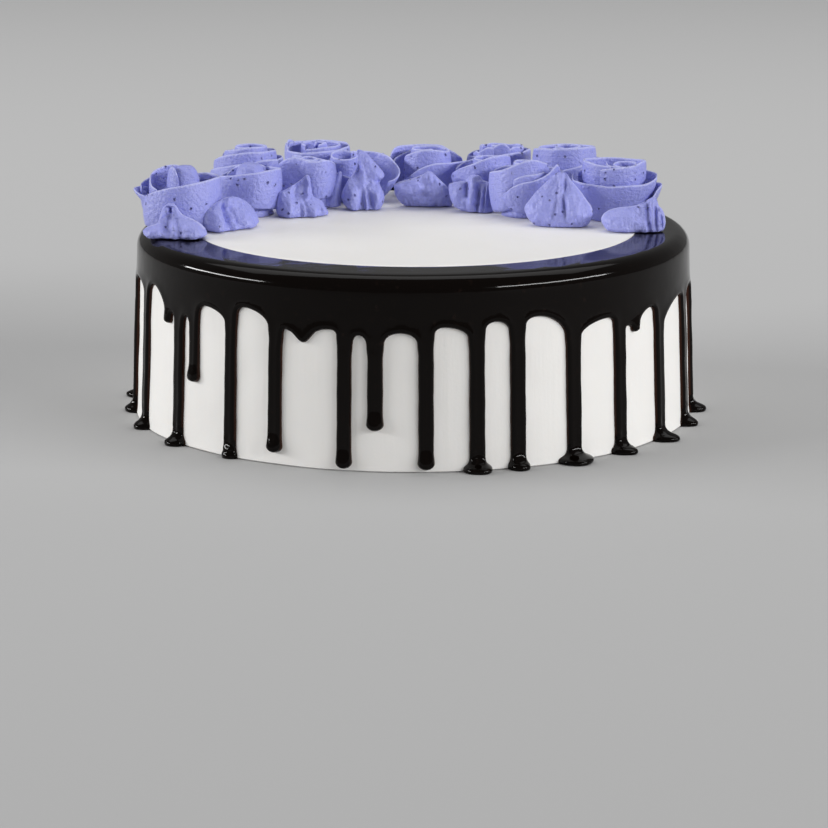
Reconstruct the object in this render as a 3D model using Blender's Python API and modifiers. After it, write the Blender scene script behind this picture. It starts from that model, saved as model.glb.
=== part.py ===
"""Round cream cake with a chocolate glaze that drips down its side, and a
crescent of piped roses and pulled leaves along the back of its top.

Metres, +Z up. The origin is the middle of the base. The front is -Y. A turn
is an angle round the cake in degrees, 0 at the front and 90 at +X.
"""
import random
from math import asin, cos, degrees, pi, radians, sin

import bmesh
import bpy
from mathutils import Vector

MM = 0.001

# Driving dimensions of the cake
CAKE_HEIGHT = 70.8 * MM
CAKE_RADIUS = 104.0 * MM
BASE_RADIUS = 106.4 * MM
SHOULDER_RADIUS = 4.5 * MM
DISC_RADIUS = 84.0 * MM
DISC_SHIFT = 1.0 * MM
LEDGE_DEPTH = 1.2 * MM
CAKE_SEGMENTS = 72
SHOULDER_STEPS = 3
GAP = 0.3 * MM

# Driving dimensions of the glaze
GLAZE_ON_TOP = 0.9 * MM
GLAZE_ON_SIDE = 1.2 * MM
DRIP_THICKNESS = 1.5 * MM
BULB_THICKNESS = 2.6 * MM
BULB_LENGTH = 5.0 * MM
# A drip narrower than this ends in a bulb that is smaller in proportion
FULL_DRIP = 5.0 * MM
LONG_DRIP = 6.0 * MM
ROW_SPACE = 0.4 * MM
NECK_SPREAD = 1.12
RIM_HEIGHT = 3.0 * MM
RIM_ROLL = 1.0 * MM
RIM_THICKNESS = 1.35 * MM
# Shares of a drip's half width, and of its thickness there
ACROSS = (-1.0, -0.55, 0.0, 0.55, 1.0)
ROUND_OFF = (0.0, 0.86, 1.0, 0.86, 0.0)
# An arch wider than this many degrees gets the finer count of columns
WIDE_ARCH = 7.0
NARROW_STEPS = 4
WIDE_STEPS = 6

# Driving dimensions of the piped cream
RIBBON_THICKNESS = 2.0 * MM
RIBBON_EDGE = 1.0 * MM
RIBBON_FLOOR = 1.0 * MM
RIBBON_START = 0.62
RIBBON_RISE = 2.4
MOUND_SIDES = 12
LEAF_SIDES = 12
LEAF_LEAN = 0.2
LEAF_FRONT_CREASE = 0.34
LEAF_BACK_CREASE = 0.12
# Shares of a leaf's height, and of its width and depth there
LEAF_LEVELS = (
    (0.00, 0.72, 0.80),
    (0.16, 0.96, 1.00),
    (0.36, 1.00, 0.94),
    (0.62, 0.55, 0.62),
    (0.86, 0.20, 0.30),
)

LEDGE_HEIGHT = CAKE_HEIGHT - LEDGE_DEPTH
SIDE_TOP = LEDGE_HEIGHT - SHOULDER_RADIUS
FLAT_RADIUS = CAKE_RADIUS - SHOULDER_RADIUS
FLOWER_FLOOR = CAKE_HEIGHT + GAP
SHARP_ANGLE = radians(50)

# The drips that show from the front, left to right, in degrees and mm: turn,
# width, height of the tip (0 runs out on the ground), width and reach of its
# pool, then the arch to the next drip: its left foot, crest, the crest's
# place along it, and its right foot.
FRONT_DRIPS = (
    (-86.0, 5.4, 0.0, 9.0, 5.0, 51.0, 54.8, 0.50, 51.0),
    (-70.5, 5.2, 0.0, 9.0, 5.5, 51.5, 56.0, 0.35, 47.0),
    (-58.8, 3.6, 44.0, 0.0, 0.0, 46.2, 48.4, 0.50, 46.4),
    (-54.4, 5.6, 0.0, 9.0, 6.0, 46.0, 48.6, 0.50, 45.6),
    (-49.2, 5.0, 22.5, 0.0, 0.0, 50.0, 54.0, 0.25, 49.8),
    (-38.7, 5.2, 0.0, 7.0, 3.0, 52.0, 56.0, 0.25, 50.6),
    (-28.0, 5.5, 2.5, 0.0, 0.0, 47.5, 49.6, 0.20, 47.2),
    (-21.7, 7.0, 45.4, 0.0, 0.0, 47.4, 51.8, 0.80, 49.0),
    (-13.5, 5.4, 0.9, 0.0, 0.0, 46.0, 49.4, 0.45, 46.0),
    (-7.4, 5.7, 14.0, 0.0, 0.0, 46.5, 50.4, 0.50, 46.5),
    (2.5, 5.6, 1.0, 0.0, 0.0, 49.8, 52.4, 0.30, 48.6),
    (12.5, 5.8, 0.0, 10.5, 6.5, 51.0, 53.8, 0.45, 50.4),
    (20.8, 5.9, 0.0, 8.0, 5.5, 51.8, 54.6, 0.30, 46.6),
    (33.2, 6.2, 0.0, 14.0, 8.0, 46.2, 50.6, 0.80, 48.2),
    (45.4, 5.8, 0.0, 10.0, 7.0, 45.6, 46.2, 0.50, 45.0),
    (50.2, 3.6, 43.4, 0.0, 0.0, 45.4, 50.9, 0.75, 47.4),
    (59.2, 5.8, 0.0, 10.0, 8.0, 43.0, 50.9, 0.85, 48.4),
    (73.5, 5.6, 0.0, 9.0, 6.0, 48.4, 51.9, 0.50, 48.4),
    (86.5, 5.6, 0.0, 9.0, 7.0, 47.5, 51.5, 0.40, 47.0),
)
BACK_DRIPS = 12
BACK_SEED = 4

# The roses, in mm and degrees: middle (x, y), radius, height, the turn where
# the outer petal begins, and how much its edge slopes from one end to the other.
ROSES = (
    (-90.0, -1.0, 15.8, 24.0, 100, 3.0),
    (-64.0, 26.5, 12.8, 22.5, 250, -2.0),
    (-42.0, 44.0, 11.5, 21.5, 60, 2.0),
    (-22.0, 60.0, 12.8, 22.5, 200, 3.0),
    (5.5, 71.0, 15.8, 22.0, 150, -3.0),
    (28.5, 51.0, 11.8, 20.5, 20, 4.0),
    (44.5, 26.0, 14.2, 22.0, 320, 4.0),
    (77.5, 18.0, 17.0, 24.0, 230, -2.0),
    (-66.0, 56.0, 14.6, 23.5, 130, 5.0),
    (-38.5, 80.5, 12.9, 20.5, 10, 3.0),
    (34.0, 79.5, 13.2, 20.0, 290, -3.0),
    (60.0, 58.0, 15.0, 22.5, 80, 2.0),
)

# The pulled leaves, in mm and degrees: middle (x, y), width, depth, height,
# the way they face, and how far the tip stands to one side.
LEAVES = (
    (-89.5, -24.0, 24.0, 11.0, 14.5, -6, -2.0),
    (-67.0, -3.0, 22.0, 9.5, 15.0, 40, 0.5),
    (-44.0, 24.0, 17.0, 8.5, 16.5, 22, 3.0),
    (-19.5, 40.0, 17.0, 8.5, 22.0, 8, -1.5),
    (4.3, 44.5, 24.0, 10.0, 15.0, 0, 0.5),
    (21.5, 35.0, 15.0, 9.0, 14.5, -20, 1.5),
    (56.0, 0.5, 25.0, 10.0, 20.5, -4, 0.0),
    (83.5, -10.5, 24.0, 10.5, 15.5, 4, 3.0),
    (-87.0, 29.0, 20.0, 11.0, 14.0, 252, 0.0),
    (-53.5, 71.5, 8.5, 8.0, 13.0, 220, 0.0),
    (-12.0, 94.0, 18.0, 10.0, 14.0, 188, 1.0),
    (14.0, 93.5, 18.0, 10.0, 13.0, 172, 0.0),
    (51.5, 76.5, 9.0, 8.0, 13.0, 145, 0.0),
    (81.5, 45.5, 20.0, 10.5, 14.0, 118, 1.0),
)


def around(turn, radius, height):
    """The point at a turn round the cake, a radius and a height."""
    angle = radians(turn)
    return Vector((radius * sin(angle), -radius * cos(angle), height))


def side_radius(height):
    """Radius of the cream side, which leans out a little to the base."""
    return BASE_RADIUS + (CAKE_RADIUS - BASE_RADIUS) * height / SIDE_TOP


def make_material(name, colour, roughness):
    material = bpy.data.materials.new(name)
    material.use_nodes = True
    shader = material.node_tree.nodes["Principled BSDF"]
    shader.inputs["Base Color"].default_value = (*colour, 1.0)
    shader.inputs["Roughness"].default_value = roughness
    shader.inputs["Metallic"].default_value = 0.0
    return material


def make_object(name, mesh, collection, material):
    """A named object with one material, shaded smooth but for its edges."""
    piece = bpy.data.objects.new(name, mesh)
    collection.objects.link(piece)
    mesh.materials.append(material)
    mesh.shade_smooth()
    mesh.set_sharp_from_angle(angle=SHARP_ANGLE)
    return piece


def closed_mesh(name, shape):
    """A mesh from a closed shape, with its faces turned out."""
    bmesh.ops.recalc_face_normals(shape, faces=shape.faces)
    mesh = bpy.data.meshes.new(name)
    shape.to_mesh(mesh)
    shape.free()
    return mesh


def mesh_from(name, points, faces):
    """A closed mesh of faces that are each a list of places in points."""
    shape = bmesh.new()
    corners = [shape.verts.new(point) for point in points]
    for face in faces:
        shape.faces.new([corners[index] for index in face])
    return closed_mesh(name, shape)


def apply_modifiers(piece):
    """Keeps the shape that the piece's modifiers give, and drops them."""
    graph = bpy.context.evaluated_depsgraph_get()
    shaped = bpy.data.meshes.new_from_object(piece.evaluated_get(graph))
    old = piece.data
    piece.modifiers.clear()
    piece.data = shaped
    bpy.data.meshes.remove(old)


def cake_profile():
    """Half section of the cream, from the middle of the top down to the base."""
    profile = [(0.0, CAKE_HEIGHT), (DISC_RADIUS, CAKE_HEIGHT), (DISC_RADIUS, LEDGE_HEIGHT)]
    for step in range(SHOULDER_STEPS + 1):
        bend = 0.5 * pi * step / SHOULDER_STEPS
        radius = FLAT_RADIUS + SHOULDER_RADIUS * sin(bend)
        profile.append((radius, SIDE_TOP + SHOULDER_RADIUS * cos(bend)))
    profile.append((side_radius(0.5 * SIDE_TOP), 0.5 * SIDE_TOP))
    profile.append((BASE_RADIUS, 0.0))
    profile.append((0.0, 0.0))
    return profile


def make_cake(collection, material):
    """The cream-covered cake, turned, with a step where the glaze lies."""
    profile = cake_profile()
    mesh = bpy.data.meshes.new("cake")
    edges = [(index, index + 1) for index in range(len(profile) - 1)]
    mesh.from_pydata([(radius, 0.0, height) for radius, height in profile], edges, [])
    cake = make_object("cake", mesh, collection, material)
    screw = cake.modifiers.new("turn", "SCREW")
    screw.steps = CAKE_SEGMENTS
    screw.render_steps = CAKE_SEGMENTS
    screw.use_merge_vertices = True
    screw.merge_threshold = 0.0001
    bpy.context.view_layer.update()
    apply_modifiers(cake)
    # The plain disc on top sits a little off the middle, as it was spread.
    for vertex in cake.data.vertices:
        if vertex.co.z > LEDGE_HEIGHT - GAP and vertex.co.xy.length < DISC_RADIUS + GAP:
            vertex.co.x += DISC_SHIFT
    return cake


def back_drips():
    """Drips for the half that is turned away, in the rhythm of the front."""
    draw = random.Random(BACK_SEED)
    first = FRONT_DRIPS[-1][0]
    span = FRONT_DRIPS[0][0] + 360.0 - first
    drips = []
    for place in range(1, BACK_DRIPS):
        turn = first + span * (place + draw.uniform(-0.15, 0.15)) / BACK_DRIPS
        width = draw.uniform(5.0, 6.2)
        crest = draw.uniform(49.5, 55.0)
        left = crest - draw.uniform(2.5, 4.5)
        right = crest - draw.uniform(2.5, 4.5)
        arch = (left, crest, draw.uniform(0.25, 0.75), right)
        if draw.random() < 0.55:
            pool = (0.0, draw.uniform(8.0, 11.0), draw.uniform(5.0, 7.5))
        else:
            pool = (draw.uniform(3.0, 26.0), 0.0, 0.0)
        drips.append((turn, width, *pool, *arch))
    return drips


def arch_height(left, crest, place, right, share):
    """Height of the glaze's edge at a share of the way between two drips."""
    if share < place:
        foot, away, length = left, 1.0 - share / place, place
    else:
        foot, away, length = right, (share - place) / (1.0 - place), 1.0 - place
    roundness = 2.6 - 1.1 * length
    return foot + (crest - foot) * max(0.0, 1.0 - away ** roundness) ** (1.0 / roundness)


def side_point(turn, height, lift):
    """A point on the glaze's side: lift is its distance off the inner face."""
    return around(turn, side_radius(height) + GAP + lift, height)


def top_points(turn, lift_top, lift_side):
    """The glaze's section from the disc's edge over the shoulder to the side."""
    shift = DISC_SHIFT * sin(radians(turn))
    edge = DISC_RADIUS + GAP + shift
    points = [around(turn, edge, LEDGE_HEIGHT + GAP + lift_top)]
    for step in range(SHOULDER_STEPS + 1):
        bend = 0.5 * pi * step / SHOULDER_STEPS
        lift = lift_top + (lift_side - lift_top) * step / SHOULDER_STEPS
        reach = SHOULDER_RADIUS + GAP + lift
        radius = FLAT_RADIUS + reach * sin(bend)
        points.append(around(turn, radius, SIDE_TOP + reach * cos(bend)))
    return points


def tip_rows(foot, pool_width, pool_reach, width):
    """Rows of a drip's end: height, half width and thickness of each."""
    half = 0.5 * width
    if pool_width > 0.0:
        spread = 0.5 * pool_width - half
        return [
            (7.0 * MM, half, 1.05 * DRIP_THICKNESS),
            (4.2 * MM, half + 0.12 * spread, 1.20 * DRIP_THICKNESS + 0.15 * pool_reach),
            (2.6 * MM, half + 0.60 * spread, 0.66 * pool_reach),
            (1.3 * MM, half + spread, pool_reach),
            (0.0, half + 0.92 * spread, 0.93 * pool_reach),
        ]
    swell = min(1.0, width / FULL_DRIP)
    length = swell * BULB_LENGTH
    bulb = swell * BULB_THICKNESS
    return [
        (foot + length, half, DRIP_THICKNESS),
        (foot + 0.52 * length, 1.10 * half, bulb),
        (foot + 0.22 * length, 0.88 * half, 0.86 * bulb),
        (foot, 0.30 * half, 0.0),
    ]


def neck_turn(width):
    """Half the angle that a drip takes up where it leaves the band."""
    return degrees(asin(0.5 * NECK_SPREAD * width * MM / CAKE_RADIUS))


def edge_columns(drips):
    """Columns round the cake: turn, height of the glaze's edge, kind, share."""
    columns = []
    for place, drip in enumerate(drips):
        turn, width = drip[:2]
        left, crest, crest_at, right = drip[5:]
        arch_in = drips[place - 1][8]
        for share in ACROSS:
            height = arch_in + (left - arch_in) * 0.5 * (1.0 + share)
            columns.append((turn + share * neck_turn(width), height * MM, "drip", share))
        next_turn, next_width = drips[(place + 1) % len(drips)][:2]
        if next_turn < turn:
            next_turn += 360.0
        start = turn + neck_turn(width)
        end = next_turn - neck_turn(next_width)
        steps = WIDE_STEPS if end - start > WIDE_ARCH else NARROW_STEPS
        for step in range(1, steps):
            share = 0.5 - 0.5 * cos(pi * step / steps)
            height = arch_height(left, crest, crest_at, right, share)
            kind = "middle" if 2 * step == steps else "arch"
            columns.append((start + share * (end - start), height * MM, kind, share))
    return columns


def make_glaze(collection, material):
    """Ring, band, drips and pools as one skin with a closed inner face.

    Fine columns follow the drips and the arches between them; coarse ones
    carry the ring on top and the shoulder.
    """
    drips = list(FRONT_DRIPS) + back_drips()
    columns = edge_columns(drips)
    total = len(columns)
    points = []
    faces = []

    def add(point):
        points.append(point)
        return len(points) - 1

    def strip(upper, lower):
        """Quads between two rows of as many points."""
        for index in range(len(upper) - 1):
            faces.append((upper[index], upper[index + 1], lower[index + 1], lower[index]))

    def drip_row(turn, heights, half, thickness):
        """One row across a drip: flat where it lies on the cake, round outside."""
        row = []
        for share, lift, height in zip(ACROSS, ROUND_OFF, heights):
            bearing = turn + degrees(share * half / side_radius(height))
            row.append(add(side_point(bearing, height, lift * thickness)))
        return row

    # Fine rows of every column: above the rim, on its roll, and its edge.
    high, roll, edge = [], [], []
    for turn, height, kind, share in columns:
        high.append(add(side_point(turn, height + RIM_HEIGHT, GLAZE_ON_SIDE)))
        roll.append(add(side_point(turn, height + RIM_ROLL, RIM_THICKNESS)))
        lift = DRIP_THICKNESS * ROUND_OFF[ACROSS.index(share)] if kind == "drip" else 0.0
        edge.append(add(side_point(turn, height, lift)))
    strip(high + high[:1], roll + roll[:1])
    strip(roll + roll[:1], edge + edge[:1])

    # Coarse columns: both sides of each drip, and the middle of each arch.
    coarse = []
    for index, (turn, height, kind, share) in enumerate(columns):
        if kind == "middle" or (kind == "drip" and abs(share) == 1.0):
            coarse.append(index)
    outer_rows = []
    inner_rows = []
    for index in coarse:
        turn = columns[index][0]
        outer_rows.append([add(point) for point in top_points(turn, GLAZE_ON_TOP, GLAZE_ON_SIDE)])
        inner_rows.append([add(point) for point in top_points(turn, 0.0, 0.0)])
    for number, index in enumerate(coarse):
        after = (number + 1) % len(coarse)
        last = coarse[after] if coarse[after] > index else coarse[after] + total
        outer_a, outer_b = outer_rows[number], outer_rows[after]
        inner_a, inner_b = inner_rows[number], inner_rows[after]
        strip(outer_a, outer_b)
        strip(inner_a, inner_b)
        faces.append((outer_a[0], outer_b[0], inner_b[0], inner_a[0]))
        below = [high[step % total] for step in range(index, last + 1)]
        faces.append([outer_a[-1], outer_b[-1]] + below[::-1])
        under = [edge[step % total] for step in range(index, last + 1)]
        if columns[index][2:] == ("drip", ACROSS[0]):
            under = [under[0], under[-1]]
        faces.append([inner_a[-1], inner_b[-1]] + under[::-1])

    # Each drip is four strips outside and one inside, down to its tip or pool.
    necks = [index for index, column in enumerate(columns) if column[2:] == ("drip", ACROSS[0])]
    for first, drip in zip(necks, drips):
        turn, width, foot, pool_width, pool_reach = drip[:5]
        tops = [column[1] for column in columns[first:first + len(ACROSS)]]
        upper = edge[first:first + len(ACROSS)]
        ends = tip_rows(foot * MM, pool_width * MM, pool_reach * MM, width * MM)
        ends = [end for end in ends if end[0] < min(tops) - ROW_SPACE]
        start = ends[0][0]
        rows = []
        if min(tops) - start > LONG_DRIP:
            for fall in (0.30, 0.65):
                heights = [top + (start - top) * fall for top in tops]
                rows.append((heights, 0.5 * width * MM, DRIP_THICKNESS))
        rows += [([height] * len(ACROSS), half, thickness) for height, half, thickness in ends]
        for heights, half, thickness in rows:
            row = drip_row(turn, heights, half, thickness)
            strip(upper, row)
            if thickness > 0.0:
                faces.append((upper[0], upper[-1], row[-1], row[0]))
            else:
                faces.append([upper[0], upper[-1]] + row[::-1])
            upper = row
        if pool_width > 0.0:
            faces.append(upper)
    make_object("chocolate_glaze", mesh_from("chocolate_glaze", points, faces), collection, material)


def ribbon(shape, centre, band):
    """A standing band of cream along a spiral, thin at its upper edge.

    The band's turn, radius and top each run from a start to an end value; it
    rises from its ends, and its top leans outward by lean.
    """
    (turn_a, turn_b), (radius_a, radius_b), (top_a, top_b), lean, step_angle = band
    steps = round((turn_b - turn_a) / step_angle)
    foot = 0.5 * RIBBON_THICKNESS
    rim = 0.5 * RIBBON_EDGE
    previous = None
    for step in range(steps + 1):
        share = step / steps
        turn = turn_a + (turn_b - turn_a) * share
        radius = radius_a + (radius_b - radius_a) * share
        full = top_a + (top_b - top_a) * share
        rise = min(1.0, RIBBON_START + min(share, 1.0 - share) * RIBBON_RISE)
        top = RIBBON_FLOOR + (full - RIBBON_FLOOR) * rise
        corners = ((foot, RIBBON_FLOOR), (rim + lean, top), (lean - rim, top), (-foot, RIBBON_FLOOR))
        section = [
            shape.verts.new(centre + around(turn, radius + offset, height))
            for offset, height in corners
        ]
        if previous is None:
            shape.faces.new(section)
        else:
            for side in range(len(section)):
                after = (side + 1) % len(section)
                shape.faces.new((previous[side], previous[after], section[after], section[side]))
        previous = section
    shape.faces.new(previous[::-1])


def rose_bands(rose):
    """The bud, the middle petal and the wide outer petal of one rose."""
    x, y, radius, height, begin, slope = rose
    radius *= MM
    height *= MM
    slope *= 0.5 * MM
    outer_lean = 0.17 * radius
    outer_radius = radius - outer_lean - 0.5 * RIBBON_EDGE
    outer_top = 0.72 * height
    bud = ((begin, begin + 405), (0.12 * radius, 0.30 * radius),
           (height, 0.93 * height), -0.03 * radius, 45)
    middle = ((begin + 150, begin + 438), (0.46 * radius, 0.55 * radius),
              (0.88 * height, 0.80 * height), 0.06 * radius, 36)
    outer = ((begin + 20, begin + 360), (0.93 * outer_radius, outer_radius),
             (outer_top + slope, outer_top - slope), outer_lean, 31)
    return bud, middle, outer


def make_mound(shape, centre, levels):
    """The mound under the petals: rings of its levels, with both ends shut."""
    rings = []
    for level, reach in levels:
        ring = bmesh.ops.create_circle(shape, segments=MOUND_SIDES, radius=reach)["verts"]
        bmesh.ops.translate(shape, verts=ring, vec=centre + Vector((0.0, 0.0, level)))
        rings.append(ring)
    for lower, upper in zip(rings, rings[1:]):
        for side in range(MOUND_SIDES):
            after = (side + 1) % MOUND_SIDES
            shape.faces.new((lower[side], lower[after], upper[after], upper[side]))
    shape.faces.new(rings[0][::-1])
    shape.faces.new(rings[-1])


def make_rose(name, rose, collection, material):
    """A rose: three bands of petal joined to the mound that they stand on."""
    x, y, radius, height, begin, slope = rose
    centre = Vector((x * MM, y * MM, FLOWER_FLOOR))
    bands = bpy.data.collections.new(name + "_bands")
    bpy.context.scene.collection.children.link(bands)
    rose_parts = rose_bands(rose)
    for band in rose_parts:
        shape = bmesh.new()
        ribbon(shape, centre, band)
        mesh = closed_mesh(name + "_band", shape)
        bands.objects.link(bpy.data.objects.new(name + "_band", mesh))
    outer_radius = rose_parts[-1][1][1]
    shape = bmesh.new()
    levels = (
        (0.0, 0.90 * outer_radius),
        (0.22 * height * MM, 0.97 * outer_radius),
        (0.50 * height * MM, 0.42 * radius * MM),
    )
    make_mound(shape, centre, levels)
    flower = make_object(name, closed_mesh(name, shape), collection, material)
    union = flower.modifiers.new("join", "BOOLEAN")
    union.operation = "UNION"
    union.operand_type = "COLLECTION"
    union.collection = bands
    bpy.context.view_layer.update()
    apply_modifiers(flower)
    for band in list(bands.objects):
        bpy.data.objects.remove(band)
    bpy.data.collections.remove(bands)
    flower.data.shade_smooth()
    flower.data.set_sharp_from_angle(angle=SHARP_ANGLE)


def make_leaf(name, leaf, collection, material):
    """A two-lobed pull of cream with a crease down its face and a raised tip."""
    x, y, width, depth, height, facing, tip_side = leaf
    facing = radians(facing)

    def place(across, away, level):
        """A point from its share across and behind the leaf's middle."""
        side = across + tip_side * level
        back = away + LEAF_LEAN * depth * level
        point_x = x + side * cos(facing) - back * sin(facing)
        point_y = y + side * sin(facing) + back * cos(facing)
        return Vector((point_x * MM, point_y * MM, FLOWER_FLOOR + level * height * MM))

    points = []
    for level, wide, deep in LEAF_LEVELS:
        for side in range(LEAF_SIDES):
            angle = 2.0 * pi * side / LEAF_SIDES
            front = LEAF_FRONT_CREASE * max(0.0, -sin(angle)) ** 6
            behind = LEAF_BACK_CREASE * max(0.0, sin(angle)) ** 6
            across = 0.5 * width * wide * cos(angle)
            away = 0.5 * depth * deep * sin(angle) * (1.0 - front - behind)
            points.append(place(across, away, level))
    points.append(place(0.0, 0.0, 1.0))
    faces = [list(range(LEAF_SIDES))[::-1]]
    for row in range(len(LEAF_LEVELS) - 1):
        low = row * LEAF_SIDES
        top = low + LEAF_SIDES
        for side in range(LEAF_SIDES):
            after = (side + 1) % LEAF_SIDES
            faces.append((low + side, low + after, top + after, top + side))
    last = (len(LEAF_LEVELS) - 1) * LEAF_SIDES
    for side in range(LEAF_SIDES):
        faces.append((last + side, last + (side + 1) % LEAF_SIDES, len(points) - 1))
    make_object(name, mesh_from(name, points, faces), collection, material)


def main():
    for old in list(bpy.data.objects):
        bpy.data.objects.remove(old)
    collection = bpy.data.collections.new("drip_cake")
    bpy.context.scene.collection.children.link(collection)
    white_cream = make_material("white_cream", (0.84, 0.83, 0.81), 0.55)
    chocolate = make_material("dark_chocolate_glaze", (0.016, 0.007, 0.005), 0.08)
    lilac_cream = make_material("lilac_cream", (0.30, 0.30, 0.74), 0.55)
    make_cake(collection, white_cream)
    make_glaze(collection, chocolate)
    for number, rose in enumerate(ROSES, start=1):
        make_rose(f"rose_{number:02d}", rose, collection, lilac_cream)
    for number, leaf in enumerate(LEAVES, start=1):
        make_leaf(f"leaf_{number:02d}", leaf, collection, lilac_cream)


main()
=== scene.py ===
# %% [markdown]
# # A cream cake with dripping chocolate and piped flowers
# The cake is one cream-covered round with a dark glaze poured over its rim.
# A crescent of lilac roses and pulled leaves stands along the back of its top.
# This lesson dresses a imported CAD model: each of its solids gives way to a
# finer piece in the same place, with a finish of its own.

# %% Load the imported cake
import random
from math import asin, atan2, cos, degrees, pi, radians, sin

import bmesh
import bpy
import numpy as np
from mathutils import Matrix, Vector
from mathutils.geometry import delaunay_2d_cdt


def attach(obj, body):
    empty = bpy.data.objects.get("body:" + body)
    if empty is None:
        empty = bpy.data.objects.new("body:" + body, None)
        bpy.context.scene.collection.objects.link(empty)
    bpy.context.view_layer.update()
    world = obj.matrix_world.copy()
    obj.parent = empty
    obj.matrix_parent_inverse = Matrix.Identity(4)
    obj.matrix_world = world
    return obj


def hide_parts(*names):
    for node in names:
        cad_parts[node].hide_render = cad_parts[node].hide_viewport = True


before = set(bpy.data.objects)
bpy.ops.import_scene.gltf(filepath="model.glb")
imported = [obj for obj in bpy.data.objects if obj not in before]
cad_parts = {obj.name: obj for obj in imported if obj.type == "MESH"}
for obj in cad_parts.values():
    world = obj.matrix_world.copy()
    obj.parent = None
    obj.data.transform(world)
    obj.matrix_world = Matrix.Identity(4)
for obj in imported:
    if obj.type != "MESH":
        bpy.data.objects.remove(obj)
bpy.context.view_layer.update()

# %% [markdown]
# ## The camera
# The photograph was taken from in front, about 13 degrees above the level, with
# a long lens. A camera 1.3 m away with a 150 mm lens gives the same ellipse on
# top and the same narrowing towards the base.

# %% Set the camera
camera_data = bpy.data.cameras.new("front_camera")
camera_data.lens = 149.7
camera_data.sensor_width = 36.0
camera_data.clip_end = 50.0
camera = bpy.data.objects.new("front_camera", camera_data)
bpy.context.scene.collection.objects.link(camera)
camera.location = (0.0003, -1.300, 0.29804)
camera.rotation_euler = (pi / 2 - 0.2276, 0.0, 0.0)
bpy.context.scene.camera = camera
bpy.context.scene.view_settings.view_transform = "Standard"
print("camera at", tuple(round(c, 3) for c in camera.location))

# %% [markdown]
# ## Shader maths as plain sums
# A finish is a tree of nodes. One small class wraps a socket, so that a sum in
# Python adds its Math node, and another keeps a material with one method that
# adds any other node: its type, its settings, and what goes into its sockets.

# %% Make the helpers for finishes
class Value:
    """A socket that can take part in sums."""

    def __init__(self, finish, socket):
        self.finish = finish
        self.socket = socket

    def math(self, operation, first, second=0.0):
        return self.finish.add("ShaderNodeMath", {"operation": operation}, {0: first, 1: second})

    def __add__(self, other):
        return self.math("ADD", self, other)

    def __radd__(self, other):
        return self.math("ADD", other, self)

    def __sub__(self, other):
        return self.math("SUBTRACT", self, other)

    def __rsub__(self, other):
        return self.math("SUBTRACT", other, self)

    def __mul__(self, other):
        return self.math("MULTIPLY", self, other)

    def __rmul__(self, other):
        return self.math("MULTIPLY", other, self)

    def over(self, other):
        """1 where this value is the larger one, else 0."""
        return self.math("GREATER_THAN", self, other)


class Finish:
    """A material and its nodes."""

    def __init__(self, name, colour, roughness):
        self.slot = name
        self.material = bpy.data.materials.new(name + "_finish")
        self.material.use_nodes = True
        self.tree = self.material.node_tree
        self.shader = self.tree.nodes["Principled BSDF"]
        self.set("Base Color", (*colour, 1.0))
        self.set("Roughness", roughness)

    def set(self, name, value):
        self.feed(self.shader.inputs[name], value)

    def feed(self, socket, value):
        if isinstance(value, Value):
            self.tree.links.new(value.socket, socket)
        else:
            socket.default_value = value

    def add(self, kind, settings=None, values=None, output=0):
        """A node with its settings and what goes into its sockets; gives one output."""
        node = self.tree.nodes.new(kind)
        for name, value in (settings or {}).items():
            setattr(node, name, value)
        for name, value in (values or {}).items():
            self.feed(node.inputs[name], value)
        return Value(self, node.outputs[output])

    def blend(self, share, first, second):
        """A colour between two, by a share that varies over the surface."""
        return self.add("ShaderNodeMix", {"data_type": "RGBA"}, {0: share, 6: first, 7: second}, 2)

    def noise(self, place, scale, detail=2.0):
        return self.add("ShaderNodeTexNoise", {}, {"Vector": place, "Scale": scale, "Detail": detail})

    def stretched(self, place, scale):
        """The coordinates times a scale of their own along each axis."""
        return self.add("ShaderNodeVectorMath", {"operation": "MULTIPLY"}, {0: place, 1: scale})

    def smooth(self, value, low, high):
        """0 below low, 1 above high, and a soft step between."""
        settings = {"interpolation_type": "SMOOTHSTEP"}
        return self.add("ShaderNodeMapRange", settings, {0: value, 1: low, 2: high})

    def bumps(self, height, distance):
        """Relief on the skin: a height of 1 stands this far out, in metres."""
        self.set("Normal", self.add("ShaderNodeBump", {}, {"Height": height, "Distance": distance}))


print("helpers for finishes are ready")

# %% [markdown]
# ## The white cream
# Whipped cream that was smoothed with a palette knife: matt, a touch warm, with
# very faint upright strokes. The strokes are noise that is long in height and
# short across, in a bump of some hundredths of a millimetre. An image could
# hold them too, but noise has no seam and no end.

# %% Mix the white cream
CREAM_SHADE = (0.84, 0.824, 0.80, 1.0)
CREAM_LIGHT = (0.875, 0.862, 0.84, 1.0)
STROKE_SCALE = (420.0, 420.0, 26.0)

white = Finish("white_cream", (0.86, 0.85, 0.835), 0.5)
white_place = white.add("ShaderNodeTexCoord", output=3)
strokes = white.noise(white.stretched(white_place, STROKE_SCALE), 1.0, 3.0)
grain = white.noise(white_place, 900.0, 2.0)
clouds = white.noise(white_place, 38.0, 2.0)
white.set("Base Color", white.blend(clouds, CREAM_SHADE, CREAM_LIGHT))
white.set("Subsurface Weight", 0.12)
white.set("Subsurface Radius", (0.004, 0.0035, 0.003))
white.set("Subsurface Scale", 0.6)
white.set("Roughness", 0.46 + 0.1 * grain)
white.set("IOR", 1.36)
white.bumps(0.7 * strokes + 0.3 * grain, 0.00012)
print("white cream:", len(white.tree.nodes), "nodes")

# %% [markdown]
# ## The chocolate glaze
# A mirror glaze, almost black where it is thick and red-brown where it thins
# out at an edge. The piece carries how thin it is as an attribute, and the
# colour follows it. A low roughness gives the long, clean highlights, and a low
# index of refraction keeps the band dark between them.

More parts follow.
